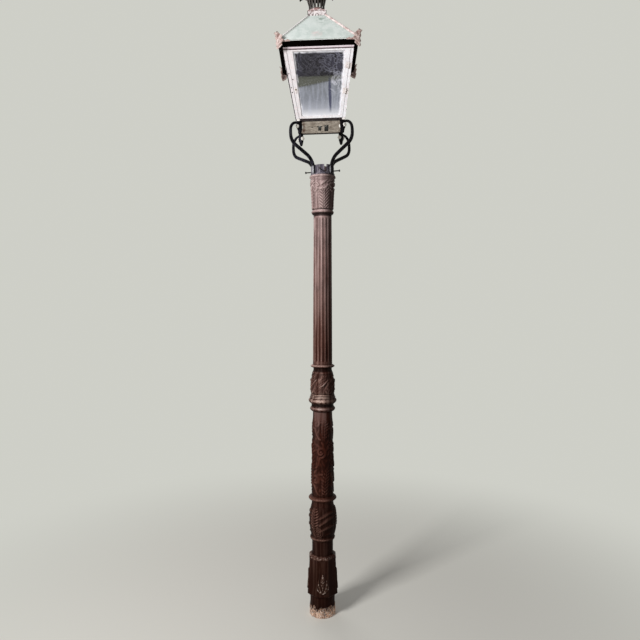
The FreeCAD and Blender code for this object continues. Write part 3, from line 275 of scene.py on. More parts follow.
def column_finish():
    """Dark red-brown paint, darker towards the foot, partly its own tone and partly painted shade;
    pale on crests, partly wear and partly painted highlight; painted shade on the right side, at the
    left edge and in the hollows.
    """
    # The deep colours darken towards the foot, partly the paint's own tone and partly painted shade of
    # the lower column.
    deep = [(0.0, (24, 9, 5)), (0.06, (40, 18, 10)), (0.20, (46, 23, 15)), (0.28, (62, 29, 20)),
            (0.44, (66, 32, 23)), (0.50, (70, 40, 33)), (0.58, (72, 40, 32)), (0.68, (96, 62, 54)),
            (0.80, (140, 109, 104)), (1.0, (142, 120, 120))]
    # The worn colours are partly wear and partly painted highlight; the palest stop, at the waist's
    # height, is a painted highlight.
    worn = [(0.0, (70, 46, 36)), (0.06, (116, 90, 76)), (0.20, (156, 118, 106)),
            (0.36, (128, 84, 72)), (0.455, (172, 142, 136)), (0.485, (248, 214, 198)),
            (0.50, (170, 134, 124)), (0.56, (178, 144, 134)), (0.60, (156, 122, 112)),
            (0.80, (206, 180, 176)), (1.0, (208, 185, 182))]
    paint = Finish("brown_iron", 20.0, 24.0, 0.0006)
    spot = object_place(paint.tree)
    crest = crest_of(paint.tree)
    level = span(axis_of(spot, "Z"), 0.0, 2.16)
    worn_and_highlit_tint = ramp(level, worn)
    paint.tint = ramp(level, deep)
    paint.coat(paint.age["Blotch"], (38, 12, 9), 0.45)
    paint.coat(times(paint.age["Streak"], span(level, 0.3, 0.7, 0.16, 0.46)), worn_and_highlit_tint)
    patchy = span(paint.age["Height"], 0.5, 1.1, 1.0, 0.35)
    # Pale crests: partly wear and partly painted highlight, near-white painted highlight where the
    # crest is highest.
    rubbed_and_highlit = times(span(crest, 0.58, 1.02), patchy)
    bare_and_highlit = times(span(crest, 1.0, 1.14, 0.0, 0.85), patchy)
    # Painted shade on the column's right side and at its left edge, where the surface turns from the
    # lamp; near-black in the hollows, partly old dark paint and partly painted shade.
    right_side_shade = span(axis_of(spot, "X"), 0.0, 0.034, 0.0, 0.80)
    left_edge_shade = span(axis_of(geometry(paint.tree, "Normal"), "X"), -0.80, -0.99, 0.0, 0.6)
    hollow = span(crest, 0.0, 0.46, 0.95, 0.0)
    for mask, colour in ((rubbed_and_highlit, worn_and_highlit_tint), (bare_and_highlit, (226, 208, 200)), (right_side_shade, (26, 8, 5)),
                         (left_edge_shade, (24, 10, 8)), (hollow, (13, 4, 3))):
        paint.coat(mask, colour)
    paint.feed("Roughness", span(crest, 0.3, 1.0, 0.50, 0.34))
    paint.feed("Specular IOR Level", 0.03)
    return paint


brown_iron = column_finish()


def outline_points(stretches, step):
    """Evenly spaced (radius, height) points along straight or arched stretches of an outline."""
    points = [stretches[0]]
    for stretch in stretches[1:]:
        low = Vector(points[-1])
        high = Vector(stretch[-2:])
        count = max(1, round((high - low).length / step))
        if len(stretch) == 2:
            points += [tuple(low.lerp(high, k / count)) for k in range(1, count + 1)]
            continue
        bulge = stretch[0] - 0.5 * (low.x + high.x)
        count = max(count, 6)
        for k in range(1, count + 1):
            share = k / count
            arched = 4.0 * share * (1.0 - share) * bulge
            points.append((low.x + (high.x - low.x) * share + arched,
                           low.y + (high.y - low.y) * share))
    return points


def turned_mesh(points, sides, looped=False):
    """Spins (radius, height) points, in millimetres, into a closed body or, looped, a ring."""
    bm = bmesh.new()
    ring = [bm.verts.new((radius / 1000.0, 0.0, height / 1000.0)) for radius, height in points]
    edges = [bm.edges.new(pair) for pair in zip(ring, ring[1:] + ring[:looped])]
    bmesh.ops.spin(bm, geom=ring + edges, cent=(0, 0, 0), axis=(0, 0, 1), angle=2 * math.pi,
                   steps=sides, use_merge=True, use_duplicate=False)
    bmesh.ops.remove_doubles(bm, verts=bm.verts, dist=1e-6)
    bmesh.ops.holes_fill(bm, edges=[e for e in bm.edges if e.is_boundary], sides=0)
    bmesh.ops.recalc_face_normals(bm, faces=bm.faces)
    return bm


def new_piece(name, bm, finish, body, smooth=True, place=None):
    """Makes the object of a finished bmesh, with its place in its mesh, riding on a body."""
    if place is not None:
        bmesh.ops.transform(bm, matrix=place, verts=bm.verts)
    mesh = bpy.data.meshes.new(name)
    bm.to_mesh(mesh)
    bm.free()
    mesh.materials.append(finish.material)
    mesh.polygons.foreach_set("use_smooth", [smooth] * len(mesh.polygons))
    piece = bpy.data.objects.new(name, mesh)
    scene.collection.objects.link(piece)
    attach(piece, body)
    return piece


def point_places(mesh):
    """Each point's place in metres, and its turn in degrees from the front."""
    spots = np.empty(len(mesh.vertices) * 3)
    mesh.vertices.foreach_get("co", spots)
    spots = spots.reshape(-1, 3)
    return spots, np.degrees(np.arctan2(spots[:, 1], spots[:, 0])) + 90.0


def unevenness(spots, fineness):
    return np.array([noise.noise(Vector(spot) * fineness) for spot in spots])


def set_points(mesh, spots, crest):
    """Moves a mesh's points and keeps the crest of each for its finish."""
    mesh.vertices.foreach_set("co", spots.ravel())
    mesh.attributes.new("crest", "FLOAT", "POINT").data.foreach_set("value", crest)
    mesh.update()


def column_stage(name, stretches, relief, depth, step=2.0, sides=stage_sides, grit=0.35):
    """One carved stage of the column; relief(turn, height) gives its rise and its crest."""
    piece = new_piece(name, turned_mesh(outline_points(stretches, step), sides), brown_iron, "root")
    spots, turn = point_places(piece.data)
    reach = np.hypot(spots[:, 0], spots[:, 1])
    rise, crest = relief(turn, spots[:, 2] * 1000.0)
    push = (depth * rise + grit * unevenness(spots, 90.0)) / 1000.0
    lift = np.where(reach > 0.03, 1.0 + push / np.maximum(reach, 0.01), 1.0)
    spots[:, :2] *= lift[:, None]
    set_points(piece.data, spots, crest)
    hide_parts("column")


def plain(turn, height):
    """No carving: a middling crest all over."""
    return np.zeros_like(turn), np.full_like(turn, 0.46)


column_stage("column_root", [(root_radius - 3.0, 0.0), (root_radius, 3.0),
                             (root_radius, root_height)], plain, 0.0, 3.0, 128, 0.9)

mortar = aged_metal("mortar_crust", (240, 186, 150), (150, 94, 64), (255, 246, 236), scale=60.0,
                    streak_length=1.0, streak=0.8, speck=0.3, roughness=0.85, bump=0.0015)
spot = object_place(mortar.tree)
thin = calc("ADD", grain(spot, 120.0, 4.0, 0.8, 1.6),
            span(axis_of(spot, "Z"), 0.016, 0.056, 0.0, 0.12))
mortar.coat(span(thin, 0.52, 0.56), (44, 20, 11), 0.95)
bm = turned_mesh(outline_points([(root_radius - 2.0, 0.0), (root_radius + crust_thickness, 1.0),
                                 (root_radius + 2.0, crust_height),
                                 (root_radius - 2.0, crust_height)], 2.0), 128)
for point in bm.verts:
    turn = math.atan2(point.co.y, point.co.x)
    uneven = noise.fractal(Vector((math.cos(turn), math.sin(turn), 0.0)) * 3.0, 1.0, 2.0, 3)
    point.co.z *= 1.0 + 0.45 * uneven
    lump = noise.noise(point.co * 70.0) * 0.0022
    reach = point.co.xy.length
    if point.co.z > 0.0005 and reach > 0.02:
        point.co.xy *= 1.0 + lump / reach
crust = new_piece("mortar_crust", bm, mortar, "root")


# Column: plinth
# The eight-sided foot of the casting, widest above a bevelled edge, with a chipped pale rim. A
# fleur of five petals stands on every other side.
plinth_levels = [(63.75, 100.0), (71.75, 108.0), (66.5, 155.0), (62.75, 281.0), (52.75, 291.0)]
fleur_foot = 122.0
fleur_height = 92.0


def hump(value, middle, reach, top=1.0):
    """A mask that is at its top in the middle and 0 beyond its reach, cut off at 1."""
    return np.clip(top - np.abs(value - middle) / reach, 0.0, 1.0)


def climb(value, start, length):
    """0 up to the start, then up to 1 over a length; a length below 0 climbs the other way."""
    return np.clip((value - start) / length, 0.0, 1.0)


def band_relief(u, v, path, half_width):
    """Rise of a rounded band along (across, up) points: 1 at its middle, 0 at its edge."""
    nearest = np.full_like(u, 1e9)
    width = np.full_like(u, half_width)
    for index, (start, end) in enumerate(zip(path, path[1:])):
        run = (end[0] - start[0], end[1] - start[1])
        length = run[0] ** 2 + run[1] ** 2
        share = np.clip(((u - start[0]) * run[0] + (v - start[1]) * run[1]) / length, 0.0, 1.0)
        away = np.hypot(u - start[0] - share * run[0], v - start[1] - share * run[1])
        along = (index + share) / (len(path) - 1)
        taper = half_width * (0.45 + 0.55 * np.sin(np.pi * (0.08 + 0.84 * along)))
        width = np.where(away < nearest, taper, width)
        nearest = np.minimum(nearest, away)
    return np.sqrt(np.clip(1.0 - (nearest / width) ** 2, 0.0, 1.0))


bm = bmesh.new()
corner = 1.0 / math.cos(math.radians(22.5))
ring = [bm.verts.new((reach * corner / 1000.0, 0.0, height / 1000.0))
        for reach, height in outline_points(plinth_levels, 2.5)]
edges = [bm.edges.new(pair) for pair in zip(ring, ring[1:])]
bmesh.ops.rotate(bm, verts=ring, matrix=Matrix.Rotation(math.radians(22.5), 3, "Z"))
bmesh.ops.spin(bm, geom=ring + edges, cent=(0, 0, 0), axis=(0, 0, 1), angle=2 * math.pi, steps=8,
               use_merge=True, use_duplicate=False)
bmesh.ops.remove_doubles(bm, verts=bm.verts, dist=1e-6)
level_edges = [e for e in bm.edges if abs(e.verts[0].co.z - e.verts[1].co.z) < 1e-6]
bmesh.ops.subdivide_edges(bm, edges=level_edges, cuts=23, use_grid_fill=True)
bmesh.ops.holes_fill(bm, edges=[e for e in bm.edges if e.is_boundary], sides=0)
bmesh.ops.recalc_face_normals(bm, faces=bm.faces)
plinth = new_piece("column_plinth", bm, brown_iron, "root", smooth=False)
spots, turn = point_places(plinth.data)
side = np.round(turn / 45.0) * 45.0
with_fleur = np.mod(np.round(side / 45.0), 2) == 0
outward = np.radians(side - 90.0)
across = (-spots[:, 0] * np.sin(outward) + spots[:, 1] * np.cos(outward)) * 1000.0
height = spots[:, 2] * 1000.0
plume = climb(height, fleur_foot + 14.0, fleur_height - 14.0)
vein = 0.5 + 0.5 * np.cos(2 * np.pi * (height - 1.1 * np.abs(across)) / 13.0)
half_width = 11.0 * np.sin(np.pi * (0.06 + 0.90 * plume))
petals = climb(np.abs(across) / half_width, 1.0, -1.0 / 3.0)
petals *= (0.45 + 0.55 * vein) * ((plume > 0.0) & (plume < 1.0))
for lean_out, share, width in ((0.0, 1.0, 3.4), (-1.0, 0.66, 5.0), (1.0, 0.66, 5.0),
                               (1.4, 0.40, 4.0), (-1.4, 0.40, 4.0)):
    path = [(lean_out * (3.0 + 17.0 * math.sin(math.pi * 0.62 * t / 8.0)),
             fleur_foot + share * fleur_height * t / 8.0) for t in range(9)]
    petals = np.maximum(petals, band_relief(across, height, path, width))
petals *= with_fleur
wall = np.hypot(spots[:, 0], spots[:, 1]) > 0.03
ring = hump(height, 278.0, 10.0) * (1.6 + 2.2 * unevenness(spots, 22.0))
push = np.where(wall, (5.0 * petals + 0.7 * unevenness(spots, 60.0) + ring) / 1000.0, 0.0)
spots[:, 0] += push * np.cos(outward)
spots[:, 1] += push * np.sin(outward)
rim = hump(height, 283.0, 8.0, 1.4)
edge = climb(np.abs(turn - side), 18.0, 4.5) * 0.10
glint = np.clip(4.0 * unevenness(spots, 150.0) + 0.3, -0.2, 1.0)
rim *= 0.24 + 0.34 * glint + 0.10 * (np.abs(turn - side) < 16.0)
crest = np.clip(0.44 + petals * (0.40 + 0.34 * glint) + rim + edge, 0.0, 1.2)
beside = hump(np.abs(across), 15.0, 7.0) * (np.abs(plume - 0.5) < 0.5)
crest -= 0.22 * beside * (petals < 0.2) * with_fleur
set_points(plinth.data, spots, crest)
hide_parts("column")


# Column: neck, ring and carved bulb
# Turned forms of the same casting. Feathered leaves stand on the bulb between scrolls and
# stems that swoop up to the right, all modelled in the mould and softened by paint and wear.
bulb_foot_z = 379.0
bulb_height = 145.0
bulb_radius = 64.0
bulb_figures = 3
bulb_leaf_turn = -37.0


def leaf_relief(u, v, foot, height, half_width, lobes, sweep=0.0, slant=0.75, fullness=0.5,
                midrib=0.42):
    """Rise of a leaf with a midrib and veins that climb outwards; sweep moves its tip."""
    t = climb(v, foot, height)
    side = u - sweep * t * t
    spacing = height / lobes
    phase = (v - foot - slant * np.abs(side)) / spacing
    ridge = 0.5 + 0.5 * np.cos(2 * np.pi * phase)
    edge = half_width * np.sin(np.pi * (0.08 + 0.86 * t)) ** fullness * (0.84 + 0.16 * ridge)
    inside = np.clip((1.0 - np.abs(side) / edge) * 4.0, 0.0, 1.0)
    ends = climb(v, foot - 2.0, 6.0) * climb(v, foot + height + 2.0, -6.0)
    rib = np.exp(-(side / 1.7) ** 2)
    groove = np.exp(-((np.abs(side) - 3.4) / 1.5) ** 2)
    shape = 0.06 + 0.86 * ridge * (1.0 - 0.8 * groove) + midrib * rib - 0.06 * groove
    return inside * ends * shape


def scroll(centre_u, centre_v, radius, start, turns, hand, steps=22, inner=0.22):
    """Points of a spiral that winds in to its eye; hand is 1 or -1."""
    path = []
    for k in range(steps + 1):
        t = k / steps
        reach = radius * (1.0 - (1.0 - inner) * t)
        angle = math.radians(start + hand * 360.0 * turns * t)
        path.append((centre_u + reach * math.cos(angle), centre_v + reach * math.sin(angle)))
    return path


def across_at(turn, centre, radius):
    """Distance round the column from a turn, in millimetres, the short way."""
    return np.radians(np.mod(turn - centre + 180.0, 360.0) - 180.0) * radius


def bulb_carving(turn, height):
    rise = np.zeros_like(turn)
    pitch = 2 * math.pi * bulb_radius / bulb_figures
    for k in range(bulb_figures):
        u = across_at(turn, bulb_leaf_turn + 360.0 * k / bulb_figures, bulb_radius)
        leaf = leaf_relief(u, height, bulb_foot_z + 42.0, 0.68 * bulb_height, 27.0, 7.6, slant=0.55,
                           fullness=0.35, midrib=0.3)
        rise = np.maximum(rise, 1.15 * leaf)
        eye = (15.0, bulb_foot_z + 25.0)
        away = np.hypot(u - eye[0], (height - eye[1]) / 0.9)
        arcs = (0.5 + 0.5 * np.cos(2 * np.pi * away / 9.0)) * climb(away, 31.0, -4.0)
        rise = np.where(away < 29.0, 0.06 + 0.74 * arcs, rise)
        for foot, top, width in ((0.64, 0.84, 8.5), (0.42, 0.68, 8.5), (0.22, 0.40, 8.0)):
            climbs = [foot + (top - foot) * math.sin(math.pi / 2 * t / 10.0) for t in range(11)]
            stem = [(26.0 + 7.4 * t, bulb_foot_z + bulb_height * up) for t, up in enumerate(climbs)]
            rise = np.maximum(rise, 0.72 * band_relief(u, height, stem, width))
        bud = band_relief(u - 0.52 * pitch, height, [(-14.0, bulb_foot_z + 0.10 * bulb_height),
                                                     (16.0, bulb_foot_z + 0.16 * bulb_height)], 5.0)
        rise = np.maximum(rise, 0.5 * bud)
    ring = np.maximum(hump(height, 561.0, 11.0), hump(height, 370.0, 7.0))
    crest = np.clip(0.22 + 0.72 * rise, 0.0, 1.04)
    in_bulb = (height > bulb_foot_z) & (height < bulb_foot_z + bulb_height)
    crest = np.where(in_bulb, crest, 0.30 + 0.75 * ring)
    return rise, crest


column_stage("column_bulb", [(50.5, 291.0), (50.5, 357.0), (60.0, 54.0, 379.0),
                             (64.0, 54.5, 524.0), (52.5, 54.0, 548.0), (67.5, 51.5, 572.0)],
             bulb_carving, 5.0)


# Column: lower shaft
# A gently swelling length of the casting, covered with a scrolling vine: a stem winds up it and
# throws a curl and a veined leaf to each side in turn.
vine_foot = 572.0
vine_height = 403.0
vine_radius = 52.5
vine_levels = 3
vine_stems = 3
vine_turn = -24.0


def vine_carving(turn, height):
    rise = np.zeros_like(turn)
    pitch = vine_height / vine_levels
    spread = 2 * math.pi * vine_radius / vine_stems
    for k in range(vine_stems):
        u = across_at(turn, vine_turn + 360.0 * k / vine_stems, vine_radius)
        for level in range(vine_levels):
            hand = 1 if level % 2 else -1
            base = vine_foot + pitch * (level + 0.04)
            middle = (hand * 0.13 * spread, base + 0.56 * pitch)
            curl = scroll(*middle, 27.0, -100.0, 1.2, hand, 22, 0.34)
            start = (-hand * 0.10 * spread, base)
            stem = [(start[0] + (curl[0][0] - start[0]) * s,
                     start[1] + (curl[0][1] - start[1]) * s * s) for s in (0.0, 0.35, 0.7)]
            rise = np.maximum(rise, 0.92 * band_relief(u, height, stem + curl, 7.5))
            eye = [(middle[0] - 3.0, middle[1]), (middle[0] + 3.0, middle[1] + 2.0)]
            rise = np.maximum(rise, band_relief(u, height, eye, 8.0))
            for angle in (15.0, 62.0, 110.0, 160.0, 232.0):
                tip = math.radians(angle)
                swing = tip + 0.42 * hand
                lobe = [(middle[0] + out * math.cos(way), middle[1] + out * math.sin(way))
                        for out, way in ((26.0, tip), (37.0, 0.5 * (tip + swing)), (46.0, swing))]
                rise = np.maximum(rise, 0.85 * band_relief(u, height, lobe, 7.0))
            leaf = leaf_relief(u + hand * 0.29 * spread, height, base + 0.04 * pitch, 0.92 * pitch,
                               20.0, 8, -hand * 14.0, 0.8, 0.4)
            rise = np.maximum(rise, leaf)
    turned = np.radians(turn)
    foliage = np.cos(9.0 * turned + 1.4 * np.sin(height / 17.0))
    foliage *= np.cos(height / 6.5 + 2.0 * np.sin(6.0 * turned))
    rise = np.maximum(rise, 0.52 * np.clip(foliage, 0.0, 1.0))
    wear = np.sin(5.0 * turned + height / 23.0) * np.cos(3.0 * turned - height / 31.0)
    rise *= 0.80 + 0.28 * wear
    low = climb(height, vine_foot + 4.0, 10.0)
    high = climb(height, vine_foot + vine_height - 30.0, -26.0)
    rise = rise * low * high
    return rise, np.clip(0.20 + 0.68 * rise + 0.34 * (1.0 - high), 0.0, 1.0)


column_stage("column_lower_shaft", [(51.5, 572.0), (52.5, 52.3, 720.0), (46.5, 975.0)],
             vine_carving, 5.0)


# Column: waist
# Bold mouldings of the casting between the vine and the drum: a torus, a cove, a large ring and
# three thin steps, their tops painted a pale pinkish brown, partly wear and partly painted
# highlight, and their coves and grooves painted dark as shade.
def waist_wear(turn, height):
    """Moulding tops pale, partly wear and partly painted highlight; coves painted dark as shade."""
    crest = np.full_like(turn, 0.22)
    # Painted highlight: the tops are palest a little left of the front.
    highlit_front = 0.72 + 0.40 * np.exp(-((np.mod(turn + 180.0, 360.0) - 168.0) / 26.0) ** 2)
    for middle, reach, strength in ((993.0, 8.0, 0.98), (1031.0, 10.0, 0.98), (1044.5, 2.6, 1.06),
                                    (1050.5, 2.6, 1.06), (1057.5, 2.6, 1.02)):
        crest = np.maximum(crest, strength * highlit_front * hump(height, middle, reach, 1.3))
    # Painted shade in the cove and in the grooves between the steps.
    dark = hump(height, 1008.0, 9.0, 1.3)
    for groove in (1041.0, 1047.5, 1054.0):
        dark = np.maximum(dark, 0.8 * hump(height, groove, 2.4))
    return np.zeros_like(turn), crest * (1.0 - 0.95 * dark)


column_stage("column_waist", [(46.5, 975.0), (60.4, 55.5, 999.0), (53.0, 55.5, 1014.0),
                              (67.4, 61.8, 1040.0), (61.8, 1041.0), (61.8, 1046.0), (59.6, 1047.5),
                              (59.6, 1052.5), (57.4, 1054.0), (57.4, 1059.0), (54.5, 1061.0)],
             waist_wear, 0.0, 1.3)


# Column: drum
# A swelling drum with broad leaves that sweep round it to the right, closed by a thin ring that
# the fluted shaft stands on.
drum_foot = 1048.0
drum_height = 135.0
drum_radius = 55.5
drum_leaves = 6
drum_leaf_turn = -30.0


def drum_carving(turn, height):
    rise = np.zeros_like(turn)
    pitch = 2 * math.pi * drum_radius / drum_leaves
    for k in range(drum_leaves):
        u = across_at(turn, drum_leaf_turn + 360.0 * k / drum_leaves, drum_radius)
        leaf = leaf_relief(u, height, drum_foot + 14.0, drum_height - 40.0, 24.0, 5, sweep=44.0,
                           slant=0.9, fullness=0.40)
        rise = np.maximum(rise, 0.80 * leaf)
        stem = [(-0.45 * pitch + 62.0 * (t / 8.0) ** 1.4, drum_foot + 18.0 + 84.0 * t / 8.0)
                for t in range(9)]
        broken = 0.72 + 0.34 * np.cos(height / 13.0 + 2.1 * k)
        rise = np.maximum(rise, broken * band_relief(u, height, stem, 5.0))
        vein = [(14.0, 1097.0), (30.0, 1105.0), (40.0, 1116.0), (57.0, 1132.0)]
        rise = np.maximum(rise, 1.4 * band_relief(u, height, vein, 3.2))
    turned = np.radians(turn)
    rise *= 0.82 + 0.22 * np.cos(4.0 * turned + height / 16.0)
    rise *= climb(height, 1170.0, -8.0) * climb(height, 1061.0, 6.0)
    ring = hump(height, 1198.0, 6.0, 1.3)
    # Above the leaves the neck is painted near-black as shade under the ring, except the ring itself.
    crest = np.where(height < 1170.0, np.clip(0.22 + 0.74 * rise, 0.0, 1.1), 0.05 + ring)
    shoulder = hump(height, 1164.0, 4.0)
    return rise, np.maximum(crest, 0.72 * shoulder)


column_stage("column_drum", [(54.5, 1061.0), (56.6, 55.4, 1096.0), (54.4, 50.0, 1162.0),
                             (44.5, 1176.0), (44.5, 1186.0), (58.0, 46.8, 1203.0)],
             drum_carving, 4.4)


# Column: fluted shaft
# The long tapered shaft with sixteen hollow flutes that stop short of its ends. The fillets
# between them are painted pale, partly wear and partly painted highlight on the flute edges, and
# the hollows dark, partly old paint and partly painted shade.
flutes = 16
flute_turn = 5.0
flute_depth = 3.6
flute_foot = 1217.0
flute_top = 1909.0


def fluting(turn, height):
    wave = np.abs(np.mod((turn - flute_turn) * flutes / 360.0 + 0.5, 1.0) - 0.5) * 2.0
    hollow = np.sqrt(np.clip(1.0 - (wave / 0.76) ** 2, 0.0, 1.0))
    ends = np.minimum(climb(height, flute_foot, 7.0), climb(height, flute_top, -7.0))
    hollow = hollow * np.sqrt(ends)
    # A painted highlight along the edges of the flutes.
    edge = hump(wave, 0.80, 0.16) * ends
    crest = np.clip(0.66 - 0.42 * hollow + 0.34 * edge, 0.0, 1.0)
    # Above the flutes the top of the shaft, under the astragal, is painted near-black as shade.
    return -hollow, np.where(height > 1915.0, 0.05, crest)


column_stage("column_shaft", [(46.8, 1203.0), (46.6, flute_foot + 8.0), (43.8, flute_top - 8.0),
                              (43.6, 1923.0)], fluting, flute_depth, 3.2, 288)


# Column: capital
# Astragal, bell and lip at the head of the casting. Four palm leaves with chevron veins stand
# round the bell, plain strips lie between them, and their heads turn over under the lip.
bell_foot = 1947.0
bell_radius = 51.0
palms = 4
palm_turn = 9.0


def palm_carving(turn, height):
    rise = np.zeros_like(turn)
    for k in range(palms):
        u = across_at(turn, palm_turn + 360.0 * k / palms, bell_radius)
        steep = np.where(u > 0.0, 1.05 + 0.004 * (height - bell_foot), 0.75)
        palm = leaf_relief(u, height, bell_foot + 2.0, 108.0, 31.0, 7.6, slant=steep, fullness=0.16,
                           midrib=0.08)
        rise = np.maximum(rise, palm * (height < bell_foot + 106.0))
        for hand in (-1.0, 1.0):
            border = [(hand * 31.5, bell_foot + 6.0), (hand * 33.0, bell_foot + 92.0)]
            rise = np.maximum(rise, 0.22 * band_relief(u, height, border, 2.6))
        fold = [(-52.0, 96.0), (-42.0, 84.0), (-30.0, 100.0), (-16.0, 96.0), (-8.0, 103.0),
                (0.0, 98.0), (16.0, 116.0), (26.0, 112.0), (38.0, 100.0)]
        fold = [(across, bell_foot + up) for across, up in fold]
        rise = np.maximum(rise, 1.1 * band_relief(u, height, fold, 4.6))
        for foot_u, foot_v, tip_u, tip_v, width in ((-40.0, 128.0, -26.0, 118.0, 6.0),
                                                    (-14.0, 116.0, 2.0, 134.0, 6.5),
                                                    (-4.0, 122.0, 12.0, 138.0, 4.0),
                                                    (14.0, 128.0, 34.0, 138.0, 6.0),
                                                    (22.0, 118.0, 36.0, 126.0, 5.0),
                                                    (-32.0, 108.0, -22.0, 112.0, 5.0)):
            middle = (0.5 * (foot_u + tip_u), bell_foot + 0.5 * (foot_v + tip_v) + 3.0)
            curl = [(foot_u, bell_foot + foot_v), middle, (tip_u, bell_foot + tip_v)]
            rise = np.maximum(rise, 1.05 * band_relief(u, height, curl, width))
    turned = np.radians(turn)
    scallop = bell_foot + 139.0 + 5.0 * np.abs(np.cos(4.0 * turned))
    rise = np.maximum(rise, 0.7 * hump(height, scallop, 5.0))
    bell = (height > bell_foot + 2.0) & (height < 2100.0)
    rise = np.where(bell, rise, 0.0)
    ring = hump(height, 1940.0, 6.0, 1.3)
    lip = climb(height, 2100.0, 5.0)
    strip = 0.54 * (rise < 0.04)
    crest = np.where(bell, np.clip(0.10 + strip + 0.86 * rise, 0.0, 1.04),
                     0.24 + 0.66 * np.maximum(ring, lip))
    # Painted shade: the groove above the astragal and the astragal's lower half are painted near-black.
    groove = hump(height, 1950.0, 4.0)
    crest = np.where(height < 1932.0, 0.02, crest - 0.4 * groove)
    return rise, crest


column_stage("column_capital", [(43.6, 1923.0), (54.0, 48.5, 1947.0), (51.6, 57.0, 2098.0),
                                (63.4, 61.0, 2112.0), (43.5, 2112.0), (43.5, 2152.0)],
             palm_carving, 5.2, 1.8)


# Bracket
# A forged and bored collar slips over the column's spigot and is locked by four square-headed
# set screws. Four bars, scarfed to it, swell out and curl back in to carry the lantern's feet.
# It has its own purplish black oxide, with a pale painted highlight along the lower tails and
# painted shade on its right side.
collar_foot_z = 2.1140591
lean_angle = math.radians(-2.0)
lean = Matrix.Translation((0.0, 0.0, collar_foot_z)) @ Matrix.Rotation(lean_angle, 4, "Y")
collar_bore = 46.0
collar_radius = 56.0
collar_height = 46.0
notch_width = 13.0
notch_depth = 36.0
notch_turn = 16.0


def lantern_place_group():
    """Level above the collar's foot, distances from the middle planes of the leaning lantern,
    turn round its axis, and whether a face looks away from the axis."""
    group = bpy.data.node_groups.new("lantern_place", "ShaderNodeTree")
    for name in ("Level", "Side", "Across", "Turn", "Outwards"):
        group.interface.new_socket(name, in_out="OUTPUT", socket_type="NodeSocketFloat")
    leaned = add_node("ShaderNodeMapping", {
        "Vector": object_place(group), "Location": (0.0, 0.0, collar_foot_z),
        "Rotation": (0.0, lean_angle, 0.0), "Scale": (0.001, 0.001, 0.001)}, vector_type="TEXTURE")
    x, y, z = add_node("ShaderNodeSeparateXYZ", {0: leaned.outputs[0]}).outputs
    beside = add_node("ShaderNodeCombineXYZ", {"X": x, "Y": y})
    facing = add_node("ShaderNodeVectorTransform", {0: geometry(group, "True Normal")},
                      vector_type="NORMAL", convert_from="WORLD", convert_to="OBJECT")
    outwards = add_node("ShaderNodeVectorMath", {0: beside.outputs[0], 1: facing.outputs[0]},
                        operation="DOT_PRODUCT")
    nearer = calc("MINIMUM", calc("ABSOLUTE", x), calc("ABSOLUTE", y))
    add_node("NodeGroupOutput", {"Level": z, "Side": x, "Across": nearer,
                                 "Turn": calc("ARCTAN2", y, x),
                                 "Outwards": span(outwards.outputs["Value"], -4.0, 4.0)})
    return group


lantern_place = lantern_place_group()


def in_lantern(tree):
    return add_node("ShaderNodeGroup", tree=tree, node_tree=lantern_place).outputs


def near(value, middle, reach, strength=1.0):
    """A mask that is strongest where a value is at its middle and gone beyond its reach."""
    away = calc("ABSOLUTE", calc("SUBTRACT", value, middle))
    return span(away, 0.0, reach, strength, 0.0)


def bracket_finish(name, body, dark, pale, highlight_below, roughness):
    """Blackened iron: a painted highlight on the tails below a level over the collar's foot, and
    painted shade on the right side.
    """
    paint = aged_metal(name, body, dark, pale, scale=34.0, streak_length=5.0, blotch=0.7,
                       streak=0.55, speck=0.4, roughness=roughness, bump=0.0005, gloss=0.04)
    place = in_lantern(paint.tree)
    # Painted highlight: a pale band down the two front tails, below a level and broken up.
    tail = span(place["Level"], highlight_below, highlight_below - 8.0)
    tail = times(tail, span(paint.age["Height"], 0.62, 0.95, 1.0, 0.35))
    left_tail_highlight, right_tail_highlight = (near(place["Side"], middle, 6.0, 1.8) for middle in (-46.0, 35.0))
    tail = times(tail, calc("MINIMUM", calc("MAXIMUM", left_tail_highlight, right_tail_highlight), 1.0))
    paint.coat(tail, (222, 221, 227), 0.95)
    shaded = span(place["Side"], 12.0, 34.0, 0.0, 0.8)
    paint.coat(times(shaded, span(tail, 0.0, 0.5, 1.0, 0.2)), (12, 9, 11))
    return paint


oxide_collar = bracket_finish("oxide_collar", (92, 86, 98), (36, 32, 40), (160, 152, 160), -20.0,
                              0.48)
black_bars = bracket_finish("black_bars", (9, 8, 11), (4, 3, 5), (58, 56, 68), 42.0, 0.30)

section = [(59.0, 0.0), (59.0, 4.0), (56.6, 7.4), (collar_radius, 10.0), (collar_radius, 44.5),
           (54.6, collar_height), (47.2, collar_height), (collar_bore, 44.8), (collar_bore, 0.0)]
collar = new_piece("bracket_collar", turned_mesh(section, 120, looped=True), oxide_collar, "root",
                   smooth=False)


def cut_out(piece, bm):
    """Cuts a closed bmesh out of a piece and keeps the result as its mesh."""
    mesh = bpy.data.meshes.new("cutter")
    bm.to_mesh(mesh)
    bm.free()
    cutter = bpy.data.objects.new("cutter", mesh)
    scene.collection.objects.link(cutter)
    cut = piece.modifiers.new("cut", "BOOLEAN")
    cut.operation = "DIFFERENCE"
    cut.object = cutter
    bpy.context.view_layer.update()
    shaped = piece.evaluated_get(bpy.context.evaluated_depsgraph_get())
    mesh_after = bpy.data.meshes.new_from_object(shaped)
    piece.modifiers.clear()
    piece.data = mesh_after
    bpy.data.objects.remove(cutter)


notch = bmesh.new()
bmesh.ops.create_cube(notch, size=1.0)
bmesh.ops.scale(notch, vec=(notch_width / 1000.0, 0.04, 0.08), verts=notch.verts)
bmesh.ops.translate(notch, vec=(0.0, -0.055, (collar_height - notch_depth) / 1000.0 + 0.04),
                    verts=notch.verts)
bmesh.ops.rotate(notch, verts=notch.verts, matrix=Matrix.Rotation(math.radians(notch_turn), 3, "Z"))
cut_out(collar, notch)
collar.data.transform(lean)
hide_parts("frog_collar")


